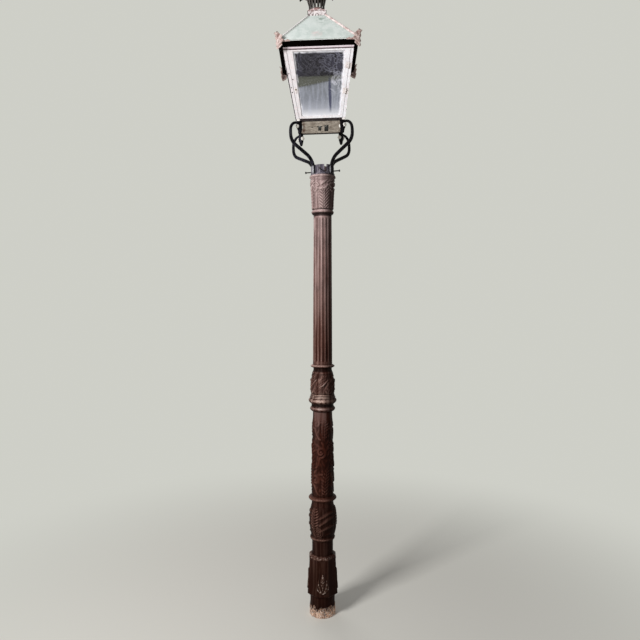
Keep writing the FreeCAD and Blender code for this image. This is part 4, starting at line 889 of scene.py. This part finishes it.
def arm_line(steps):
    """Centre line of a bar in its own upright plane: (reach, height, direction) in millimetres."""
    root, tail, throat, rise, bulge, elbow, curl = 60.1, 26.0, 70.0, 25.0, 201.0, 48.0, 42.0
    line = [(root, 3.0, 90.0), (root, 15.0, 90.0), (root, tail, 90.0)]
    for k in range(1, steps + 1):
        turn = math.radians(90.0 - (90.0 - rise) * k / steps)
        line.append((root + throat * (1 - math.sin(turn)), tail + throat * math.cos(turn),
                     math.degrees(turn)))
    reach, height = line[-1][:2]
    slope = math.radians(rise)
    run = bulge - reach - elbow * (1 - math.sin(slope))
    reach, height = reach + run, height + run * math.tan(slope)
    line.append((reach, height, rise))
    for k in range(1, steps + 1):
        turn = math.radians(rise + (90.0 - rise) * k / steps)
        line.append((reach + elbow * (math.sin(turn) - math.sin(slope)),
                     height + elbow * (math.cos(slope) - math.cos(turn)), math.degrees(turn)))
    lantern_foot, tip_half, gap = 236.0, 4.2, 4.0
    top = lantern_foot - tip_half - gap
    line.append((bulge, top - curl, 90.0))
    for k in range(1, steps + 1):
        turn = math.radians(90.0 * k / steps)
        line.append((bulge - curl * (1 - math.cos(turn)), top - curl * (1 - math.sin(turn)),
                     90.0 + math.degrees(turn)))
    line.append((153.0, top, 180.0))
    return line


def bar_along(line, half_start, half_end):
    """Sweeps a softly squared bar along a line by extruding its end face from place to place."""
    bm = bmesh.new()
    bmesh.ops.create_circle(bm, cap_ends=True, segments=8, radius=1.0)
    bmesh.ops.rotate(bm, verts=bm.verts, matrix=Matrix.Rotation(math.radians(22.5), 3, "Z"))
    end = bm.faces[:][0]
    pattern = [vert.co.copy() for vert in end.verts]

    def settle(face, station, half):
        reach, height, direction = station
        along = math.radians(direction)
        across = Vector((-math.sin(along), 0.0, math.cos(along)))
        for vert, at in zip(face.verts, pattern):
            vert.co = (Vector((reach, 0.0, height)) + across * at.x * half
                       + Vector((0.0, at.y * half, 0.0))) / 1000.0

    settle(end, line[0], half_start)
    count = len(line) - 1
    for k, station in enumerate(line[1:], 1):
        grown = bmesh.ops.extrude_face_region(bm, geom=[end])["geom"]
        new_face = [item for item in grown if isinstance(item, bmesh.types.BMFace)][0]
        if k > 1:
            bmesh.ops.delete(bm, geom=[end], context="FACES_ONLY")
        share = max(0.0, (k - 0.45 * count) / (0.55 * count))
        settle(new_face, station, half_start + (half_end - half_start) * share)
        end = new_face
    bmesh.ops.recalc_face_normals(bm, faces=bm.faces)
    return bm


pad_size = (0.004, 0.015, 0.034)
pad_place = (0.1514, 0.0, 0.216)
arm_turns = {"front_right": -45.0, "back_right": 45.0, "back_left": 135.0, "front_left": 225.0}
for corner_name, arm_turn in arm_turns.items():
    swing = Matrix.Rotation(math.radians(arm_turn), 4, "Z")
    bm = bar_along(arm_line(6), 9.4, 6.5)
    pad = bmesh.ops.create_cube(bm, size=1.0)["verts"]
    bmesh.ops.scale(bm, vec=pad_size, verts=pad)
    bmesh.ops.translate(bm, vec=pad_place, verts=pad)
    pad_edges = list({e for v in pad for e in v.link_edges})
    bmesh.ops.bevel(bm, geom=pad_edges, offset=0.0012, segments=2, profile=0.5, affect="EDGES",
                    material=-1)
    arm = new_piece("bracket_arm_" + corner_name, bm, black_bars, "root", place=lean @ swing)
    soft = arm.modifiers.new("forged", "SUBSURF")
    soft.levels = 1
    soft.render_levels = 1
    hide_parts("frog_arm_" + corner_name)


def dress(names, finish):
    """Gives CAD pieces, named or by the start of their name, a finish."""
    for name, piece in nodes.items():
        if name.startswith(names):
            for slot in piece.material_slots:
                slot.material = finish.material


rusty_steel = aged_metal("rusty_steel", (26, 22, 23), (14, 11, 11), (92, 84, 84), scale=60.0,
                         roughness=0.5, bump=0.0003)
bright_steel = aged_metal("bright_steel", (232, 228, 222), (120, 104, 94), (246, 244, 240),
                          scale=60.0, blotch=0.25, roughness=0.4, bump=0.0003)
dress(("collar_set_screws",), rusty_steel)
dress(("foot_bolts_and_nuts",), bright_steel)
dress(("corner_foot",), black_bars)


# Lantern body
# Angle posts, a bottom and a top frame and four sashes of sheet iron, cut, folded, riveted and
# many times painted: the last coat is a dusty pinkish white that flakes to dark iron.
body_slope = 0.15607
door_half = 62.4
door_top = 548.0
flaking_white = aged_metal("flaking_white", (232, 231, 236), (200, 195, 198), (247, 247, 251),
                           scale=26.0, streak_length=6.0, blotch=0.6, speck=0.12, roughness=0.62,
                           bump=0.0010)
spot = object_place(flaking_white.tree)
chips = grain(spot, 150.0, 8.0, 0.75)
place = in_lantern(flaking_white.tree)
level, side, across = (place[name] for name in ("Level", "Side", "Across"))
# Painted shade: the body is greyer towards its left side.
flaking_white.coat(span(side, 20.0, -140.0, 0.0, 0.55), (198, 189, 189))
flaking_white.coat(span(chips, 0.60, 0.65), (112, 84, 78), 0.85)
flaking_white.coat(span(chips, 0.50, 0.56), (226, 198, 200), 0.35)
door_edge = calc("SUBTRACT", across, calc("MULTIPLY_ADD", level, body_slope))
# Painted shade in the gaps along the door's sides and top, broken up by the chips.
gap_shade = calc("MAXIMUM", near(door_edge, door_half, 2.0, 0.6), near(level, door_top, 4.0, 2.4))
flaking_white.coat(times(gap_shade, span(chips, 0.36, 0.56, 0.35, 1.0)), (84, 62, 66), 0.9)
flaking_white.coat(span(level, 549.0, 551.0, 0.0, 0.5), (206, 180, 190))
unlit = times(span(place["Outwards"], 0.0, 1.0, 0.95, 0.0), span(axis_of(spot, "Y"), 0.0, 0.03))
flaking_white.coat(unlit, (30, 28, 30))


def shade_below(paint, shade_and_soot, start=-0.25, end=-0.6):
    """Darkens the faces that look down: painted shade, with some soot under the roof."""
    paint.coat(span(axis_of(geometry(paint.tree, "Normal"), "Z"), start, end), shade_and_soot)


dress(("corner_post", "top_frame", "sash_", "door_frame", "glazing_bead"), flaking_white)

# Painted dark, partly the iron's own colour and partly painted shade under the door's overhang; its
# ends keep the white paint.
dark_frame = aged_metal("dark_frame", (34, 24, 28), (16, 10, 12), (70, 58, 58), scale=40.0)
dark_frame.coat(span(in_lantern(dark_frame.tree)["Across"], 97.0, 101.0), (232, 226, 222))
dress(("bottom_frame",), dark_frame)

floor_sheet = aged_metal("floor_sheet", (222, 208, 197), (128, 110, 98), (238, 226, 218),
                         scale=34.0, streak=0.3, speck=0.6, roughness=0.7, bump=0.0008)
grime = grain(object_place(floor_sheet.tree), 70.0, 3.0)
rusted = times(near(in_lantern(floor_sheet.tree)["Side"], -84.0, 12.0, 1.6),
               span(grime, 0.42, 0.56))
floor_sheet.coat(rusted, (112, 84, 74), 0.8)
# Painted shade: faces that do not look down, the top inside the lantern and the walls of the cut-outs,
# are painted near-black.
upward = axis_of(geometry(floor_sheet.tree, "Normal"), "Z")
floor_sheet.coat(span(upward, -0.6, -0.3, 0.0, 0.95), (20, 16, 15))
dress(("floor_plate",), floor_sheet)


# Lantern glazing
# Four panes of drawn glass bedded in the sashes. They were never cleaned: dust clings thickly near
# the foot and in streaks, and a thin mottled film lies over the rest. The film high up, a band
# under it and an upright line carry painted shade of what lies inside and behind the panes.
pane_foot = 256.0
pane_top = 538.5
pane_foot_half = 89.5
pane_slope = 0.1062


def dusty_glass(name, shaded_inside):
    """Old glass: a thin smeared film high up and a dull band, both partly painted shade, and thick
    pale dust towards the foot; for the back and side panes, inner faces and faces seen from behind
    are painted dark as shade.
    """
    pane = Finish(name, 16.0, 18.0)
    place = in_lantern(pane.tree)
    level, side, across = (place[name] for name in ("Level", "Side", "Across"))
    smears = grain(object_place(pane.tree), 12.0, 5.0, 0.66, 2.2)
    lines = near(smears, 0.5, 0.05)
    # Thick dust lies below a line that slopes across the pane, following the painted band's edge.
    dusted = span(calc("SUBTRACT", level, calc("MULTIPLY", side, 0.17)), 404.0, 396.0)
    shadow_band = times(span(level, 434.0, 427.0), span(dusted, 0.0, 1.0, 1.0, 0.0))
    low_dust = ramp(span(level, pane_foot, 400.0), [
        (0.0, (246, 245, 249)), (0.10, (212, 212, 219)), (0.24, (164, 166, 176)),
        (0.5, (136, 139, 149)), (1.0, (118, 121, 126))])
    # A dark film, partly painted shade of the dark inside seen through the glass.
    pane.tint = (48, 46, 51)
    # A painted band of shade: the shaded rail behind, seen through the pane.
    pane.coat(shadow_band, (94, 95, 87))
    pane.coat(dusted, low_dust)
    runs = times(pane.age["Streak"], dusted)
    pane.coat(runs, (168, 171, 186), 0.34)
    pane.coat(times(pane.age["Speck"], span(level, 400.0, 440.0, 0.30, 0.10)), (196, 196, 206))
    high = span(level, 427.0, 440.0)
    swirled = times(lines, high)
    sideways = calc("MAXIMUM", span(side, -10.0, 70.0, 0.20, 1.0), span(side, -60.0, -110.0, 0.0, 0.8))
    pane.coat(times(swirled, sideways), (150, 150, 168), 0.46)
    clouded = times(times(span(smears, 0.48, 0.66), high), sideways)
    pane.coat(clouded, (104, 102, 122), 0.45)
    # A painted dark upright line: the shaded corner of the room seen through the pane.
    pane.coat(times(near(side, 46.0, 8.0), near(level, 350.0, 84.0, 4.0)), (78, 80, 100), 0.8)
    washed = times(span(side, 44.0, 56.0), near(level, 400.0, 60.0, 1.6))
    pane.coat(times(washed, lines), (214, 214, 226), 0.6)
    widening = calc("MULTIPLY", calc("SUBTRACT", level, pane_foot), pane_slope)
    edge = calc("SUBTRACT", calc("ADD", widening, pane_foot_half), across)
    edge = calc("MINIMUM", edge, calc("SUBTRACT", pane_top, level))
    edge = calc("MINIMUM", edge, calc("SUBTRACT", level, pane_foot - 6.0))
    frosting = span(calc("ADD", edge, span(smears, 0.3, 0.7, -5.0, 5.0)), 9.0, 1.0)
    pane.coat(frosting, (236, 234, 240), 0.9)
    greys = ((0.0, 0.80), (0.10, 0.84), (0.48, 0.74), (0.62, 0.60), (1.0, 0.62))
    film = ramp(span(level, pane_foot, 540.0), [(at, (grey, grey, grey, 1.0)) for at, grey in greys])
    cover = calc("ADD", film, times(calc("MAXIMUM", swirled, frosting), 0.30))
    cover = calc("MINIMUM", calc("ADD", cover, times(runs, 0.10)), 0.96)
    behind = geometry(pane.tree, "Backfacing")
    # Painted shade: inner faces, and faces seen from behind, are painted dark.
    if shaded_inside:
        inner = span(place["Outwards"], 0.0, 1.0, 1.0, 0.0)
        pane.coat(calc("MAXIMUM", behind, inner), (24, 23, 27))
        cover = calc("MAXIMUM", times(cover, place["Outwards"]), times(inner, 0.95))
    pane.feed("Alpha", times(cover, span(behind, 0.0, 1.0, 1.0, 0.05)))
    pane.feed("Roughness", 0.24)
    pane.feed("Specular IOR Level", 0.2)
    return pane


dress(("glass_pane",), dusty_glass("dusty_glass", True))
dress(("glass_pane_front",), dusty_glass("dusty_door_glass", False))


# Door furniture
# Butt hinges with loose pins on the right-hand stile and a turn button on the left one, all
# painted over with the body, plus the dark heads of the tacks in the stiles.
painted_over = aged_metal("painted_over", (222, 214, 212), (150, 128, 124), (236, 230, 230),
                          scale=60.0, blotch=0.6, roughness=0.55, bump=0.0003)
dress(("hinge_door_leaves", "hinge_post_leaves", "turn_button"), painted_over)
dull_brass = aged_metal("dull_brass", (140, 122, 92), (60, 48, 36), (176, 158, 124), scale=90.0,
                        metallic=0.8, roughness=0.42, bump=0.0002)
dress(("hinge_pins", "turn_button_screw"), dull_brass)

body_foot_half = 114.0
body_top_half = 163.0
body_height = 314.0
body_foot_z = 244.0
tilt = math.atan2(body_top_half - body_foot_half, body_height)
stile_slope = 0.154


def face_place(side):
    """Turns (across, up the slope, outwards), in millimetres, onto one face of the body."""
    flat = Matrix(((1.0, 0.0, 0.0, 0.0),
                   (0.0, -math.sin(tilt), -math.cos(tilt), -body_foot_half),
                   (0.0, math.cos(tilt), -math.sin(tilt), body_foot_z),
                   (0.0, 0.0, 0.0, 1.0)))
    return lean @ Matrix.Scale(0.001, 4) @ Matrix.Rotation(math.radians(90.0 * side), 4, "Z") @ flat


def tack_heads(name, places, body, side):
    """Low domed heads at (across, up) places of one face."""
    bm = bmesh.new()
    for across, up in places:
        head = bmesh.ops.create_uvsphere(bm, u_segments=14, v_segments=8, radius=2.6)["verts"]
        bmesh.ops.scale(bm, vec=(1.0, 1.0, 0.55), verts=head)
        bmesh.ops.translate(bm, vec=(across, up, 0.1), verts=head)
    heads = new_piece(name, bm, rusty_steel, body, place=face_place(side))


door_tack_spots = [(-96.0 - stile_slope * 176.0, 176.0), (97.0 + stile_slope * 233.0, 233.0)]
tack_heads("door_tacks", door_tack_spots, "door", 0)
tack_heads("front_post_tacks", [(-141.0, 202.0), (-131.0, 140.0), (-127.5, 119.0), (128.0, 119.0)],
           "root", 0)
for side, label in ((1, "right"), (2, "back"), (3, "left")):
    places = [(hand * (98.0 + stile_slope * up), up) for hand in (-1, 1) for up in (40.0, 150.0, 262.0)]
    tack_heads(label + "_tacks", places, "root", side)


# Roof
# Thin copper over an iron eave: four flat sheets, gone pale verdigris and streaked from the vent
# box down, with lapped rolls over the hips. Below the lip the eave is black, partly soot and
# partly painted shade, and faces that look down are painted dark as shade.
roof_narrowing = 0.8051
hip_sum = 653.3
hip_shade_inset = 9.5
verdigris = aged_metal("verdigris", (212, 220, 216), (192, 202, 197), (224, 229, 226), scale=10.0,
                       streak_length=5.0, blotch=0.7, streak=0.6, speck=0.15, roughness=0.62,
                       bump=0.0004)
place = in_lantern(verdigris.tree)
level, side, across = (place[name] for name in ("Level", "Side", "Across"))
grime = grain(object_place(verdigris.tree), 60.0, 3.0)
stain = times(span(level, 668.0, 752.0), span(grime, 0.42, 0.60))
verdigris.coat(times(stain, near(side, 18.0, 34.0, 1.5)), (142, 158, 148), 0.8)
smudge = times(near(level, 618.0, 22.0, 1.4), near(side, -6.0, 30.0, 1.4))
verdigris.coat(times(smudge, span(grime, 0.4, 0.6, 0.1, 0.6)), (226, 196, 196))
to_hip = calc("SUBTRACT", calc("MULTIPLY_ADD", level, -roof_narrowing), across)
hip_shade = near(to_hip, hip_shade_inset - hip_sum, 6.0, 1.4)
verdigris.coat(times(hip_shade, span(side, 20.0, -20.0, 0.4, 1.0)), (146, 150, 144), 0.6)
shade_below(verdigris, (10, 8, 9))
dress(("roof_panel",), verdigris)

pink_box = aged_metal("pink_box", (226, 216, 217), (178, 160, 160), (244, 238, 239), scale=50.0,
                      blotch=0.6, speck=0.45, bump=0.0008)
level = in_lantern(pink_box.tree)["Level"]
spots = grain(object_place(pink_box.tree), 95.0, 3.0)
pink_box.coat(times(span(level, 774.0, 764.0), span(spots, 0.47, 0.55)), (70, 52, 48), 0.9)
pink_box.coat(span(spots, 0.56, 0.62, 0.0, 0.7), (112, 88, 84))
pink_box.coat(times(span(level, 777.0, 783.0), span(spots, 0.40, 0.52)), (142, 98, 94), 0.8)
shade_below(pink_box, (60, 48, 46))
dress(("roof_vent_box",), pink_box)

eave_iron = aged_metal("eave_iron", (238, 243, 239), (204, 204, 200), (244, 246, 244), scale=40.0,
                       bump=0.0008, gloss=0.0)
ragged = calc("ADD", in_lantern(eave_iron.tree)["Level"],
              span(eave_iron.age["Height"], 0.5, 1.1, -1.5, 1.5))
# Painted shade, partly soot: below a ragged line under the lip the eave is near-black.
eave_iron.coat(span(ragged, 567.5, 566.0), (11, 8, 10))
shade_below(eave_iron, (8, 5, 4), start=-0.15, end=-0.3)
dress(("eave_frame",), eave_iron)


# Hip rolls
# Half-round strips of lead worn over the four mitres of the roof, dressed down by hand, so that
# their lower edges wave. The right-hand ones are thick with flaking pinkish paint.
lead_roll = aged_metal("lead_roll", (232, 216, 214), (168, 132, 126), (244, 236, 236), scale=46.0,
                       blotch=0.9, streak=0.3, roughness=0.62, bump=0.0014)
lead_roll.coat(span(in_lantern(lead_roll.tree)["Side"], -20.0, -40.0, 0.0, 0.85), (240, 238, 238))
roof_foot_half = 185.5
roof_top_half = 43.0
roof_foot_z = 581.0
roof_top_z = 758.0
for index, corner_name in enumerate(arm_turns):
    swing = Matrix.Rotation(math.radians(90.0 * index), 4, "Z")
    foot = Vector((roof_foot_half, -roof_foot_half, roof_foot_z)) / 1000.0
    top = Vector((roof_top_half, -roof_top_half, roof_top_z)) / 1000.0
    bm = bmesh.new()
    bmesh.ops.create_cone(bm, cap_ends=True, segments=16, radius1=0.0046, radius2=0.0046,
                          depth=(top - foot).length)
    long_edges = [e for e in bm.edges if abs(e.verts[0].co.z - e.verts[1].co.z) > 0.1]
    bmesh.ops.subdivide_edges(bm, edges=long_edges, cuts=70, use_grid_fill=True)
    aim = (top - foot).to_track_quat("Z", "Y").to_matrix().to_4x4()
    bmesh.ops.transform(bm, matrix=Matrix.Translation((foot + top) / 2) @ aim, verts=bm.verts)
    axis = (top - foot).normalized()
    thick = 1.25 if corner_name.endswith("right") else 0.8
    for vert in bm.verts:
        along = (vert.co - foot).dot(axis)
        centre = foot + axis * along
        lump = 1.0 + 0.28 * noise.noise(vert.co * 130.0) + 0.10 * math.sin(along * 520.0)
        vert.co = centre + (vert.co - centre) * thick * lump
    roll = new_piece("hip_roll_dressed_" + corner_name, bm, lead_roll, "root", place=lean @ swing)
    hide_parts("hip_roll_" + corner_name)


# Corner leaves
# A cast leaf is bolted over each corner of the eave, folded round it, with its tip curled out
# and a small wing lying along each eave. The white paint on them has turned pink with rust.
pink_cast = aged_metal("pink_cast", (194, 172, 166), (140, 108, 102), (226, 212, 208), scale=46.0,
                       streak_length=2.0, blotch=0.7, bump=0.0012)
crest = crest_of(pink_cast.tree)
pink_cast.coat(span(crest, 0.10, 0.36, 0.75, 0.0), (120, 84, 78))
pink_cast.coat(span(crest, 1.04, 1.2, 0.0, 0.8), (58, 46, 40))
eave_half = 183.5
leaf_foot = 540.0
leaf_height = 74.0
leaf_half = 27.0


def leaf_surface(u, v):
    """Place and crest of the corner leaf at u from -1 to 1 across and v from 0 to 1 up."""
    lobes = 3.4
    phase = lobes * v - 0.60 * abs(u) + 0.15
    ridge = 0.5 + 0.5 * math.cos(2 * math.pi * phase)
    half = leaf_half * math.sin(math.pi * (0.10 + 0.82 * v)) ** 0.6 * (0.72 + 0.28 * ridge)
    rib = math.exp(-(u / 0.16) ** 2)
    rise = 1.4 + 3.4 * ridge * min(1.0, abs(u) * 4.0) + 2.6 * rib
    curl = max(0.0, v - 0.55)
    out = eave_half * math.sqrt(2.0) + 1.0 + rise + 70.0 * curl ** 2 - 0.55 * abs(u) * half
    up = leaf_foot + leaf_height * v - 26.0 * curl ** 2.2 + 5.0 * abs(u)
    crest = 0.10 + 0.62 * ridge + 0.3 * rib + (0.5 if v > 0.94 else 0.0)
    return Vector((out, u * half, up)) / 1000.0, crest


def wing_surface(u, v):
    """Place and crest of a wing at u from the corner out along the eave and v up its face."""
    length = 56.0
    tall = (19.0 - 12.0 * u) * (0.76 + 0.24 * math.cos(2 * math.pi * 2.5 * u))
    ridge = 0.5 + 0.5 * math.cos(2 * math.pi * (2.5 * u + 0.6 * v))
    level = 571.0 + tall * v + 3.0 * u
    crest = 0.16 + 0.66 * ridge
    proud = 2.0 + 1.6 * ridge * (1.0 - u)
    return Vector((eave_half - length * u, -eave_half - proud, level)) / 1000.0, crest


def shaped_sheet(bm, surface, columns, rows, first_u):
    """Adds a grid whose points and their crests are set by a surface; returns its points."""
    crest_layer = bm.verts.layers.float["crest"]
    grid = bmesh.ops.create_grid(bm, x_segments=columns, y_segments=rows, size=0.5)["verts"]
    for vert in grid:
        share = (vert.co.x + 0.5, vert.co.y + 0.5)
        u = first_u + (1.0 - first_u) * share[0]
        vert.co, vert[crest_layer] = surface(u, share[1])
    return grid


for index, corner_name in enumerate(arm_turns):
    bm = bmesh.new()
    bm.verts.layers.float.new("crest")
    leaf = shaped_sheet(bm, leaf_surface, 28, 40, -1.0)
    bmesh.ops.rotate(bm, verts=leaf, matrix=Matrix.Rotation(math.radians(-45.0), 3, "Z"))
    shaped_sheet(bm, wing_surface, 24, 8, 0.0)
    other = shaped_sheet(bm, wing_surface, 24, 8, 0.0)
    for vert in other:
        vert.co.x, vert.co.y = -vert.co.y, -vert.co.x
    bmesh.ops.reverse_faces(bm, faces=list({f for v in other for f in v.link_faces}))
    swing = Matrix.Rotation(math.radians(90.0 * index), 4, "Z")
    leaf_piece = new_piece("corner_leaf_cast_" + corner_name, bm, pink_cast, "root",
                           place=lean @ swing)
    wall = leaf_piece.modifiers.new("casting", "SOLIDIFY")
    wall.thickness = 0.0028
    wall.offset = -1.0
    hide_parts("corner_leaf_" + corner_name)


# Crown, cap and finial
# The cast ventilator head: a neck of upright bars with slots between, flaring into a rim of
# leaf tips, under a gored copper cap and a turned finial. Greenish black, the bars painted pale,
# partly wear and partly painted highlight, and the inner faces painted black, partly soot and
# partly painted shade.
sooty_cast = aged_metal("sooty_cast", (56, 50, 48), (22, 16, 14), (120, 115, 112), scale=60.0,
                        blotch=0.6, speck=0.4, roughness=0.45)
place = in_lantern(sooty_cast.tree)
bars = calc("MULTIPLY", place["Turn"], 16.0 / (2.0 * math.pi))
bars = calc("ABSOLUTE", calc("SUBTRACT", calc("FRACT", bars), 0.5))
# Painted highlight, partly wear: pale bars round the neck.
rubbed_and_highlit = times(span(bars, 0.30, 0.42), span(place["Level"], 862.0, 852.0))
rubbed_and_highlit = times(rubbed_and_highlit, span(place["Level"], 800.0, 806.0))
sooty_cast.coat(rubbed_and_highlit, (214, 210, 208), 0.85)
# Painted shade, partly soot: faces that look inwards are painted near-black.
inwards = calc("SUBTRACT", 1.0, place["Outwards"])
sooty_cast.coat(inwards, (10, 7, 6))
dress(("crown", "finial"), sooty_cast)

cap_copper = aged_metal("cap_copper", (198, 206, 200), (120, 128, 120), (222, 226, 222),
                        scale=24.0)
box_top, crown_neck, crown_flare, cap_seat = 798.0, 68.0, 16.0, 2.6
cap_foot = box_top + crown_neck + crown_flare + cap_seat
cap = turned_mesh(outline_points([(55.0, cap_foot), (58.0, cap_foot + 0.2), (58.0, cap_foot + 4.0),
                                  (52.0, 36.0, cap_foot + 32.5), (14.0, 9.0, cap_foot + 46.0)],
                                 2.0), 192)
for vert in cap.verts:
    reach = vert.co.xy.length
    if reach > 0.012:
        turn = math.atan2(vert.co.y, vert.co.x)
        gore = abs(math.cos(8.0 * turn))
        vert.co.xy *= 1.0 - 0.045 * (1.0 - gore ** 0.6) * min(1.0, (reach - 0.012) / 0.03)
cap_piece = new_piece("cap_gored", cap, cap_copper, "root", place=lean)
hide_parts("crown_cap")

finial_foot = cap_foot + 46.0
ball = finial_foot + 20.0
finial_bm = turned_mesh(outline_points([
    (9.0, finial_foot), (11.2, finial_foot + 3.0), (4.5, finial_foot + 8.0),
    (17.0, 4.4, ball + 11.0), (5.6, 3.0, ball + 17.0), (1.4, finial_foot + 57.0),
    (0.4, finial_foot + 58.0)], 1.0), 64)
finial_piece = new_piece("finial_turned", finial_bm, sooty_cast, "root", place=lean)
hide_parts("finial")


# Lamp holder
# A white glazed porcelain holder screwed to the floor plate. Its domed head just shows over the
# door's bottom rail.
porcelain = Finish("glazed_white", 30.0, 4.0)
porcelain.tint = (232, 230, 226)
porcelain.coat(porcelain.age["Blotch"], (196, 190, 182), 0.5)
shade_below(porcelain, (20, 17, 16))
porcelain.feed("Roughness", 0.18)
holder_foot = 240.0
holder = turned_mesh(outline_points([
    (28.0, holder_foot), (28.4, 27.0, holder_foot + 8.4), (20.5, holder_foot + 14.0),
    (14.5, 13.4, holder_foot + 38.0), (13.4, holder_foot + 62.0), (13.0, 1.5, holder_foot + 71.0)],
    1.2), 72)
holder_piece = new_piece("holder_glazed", holder, porcelain, "root", place=lean)
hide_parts("lamp_holder")
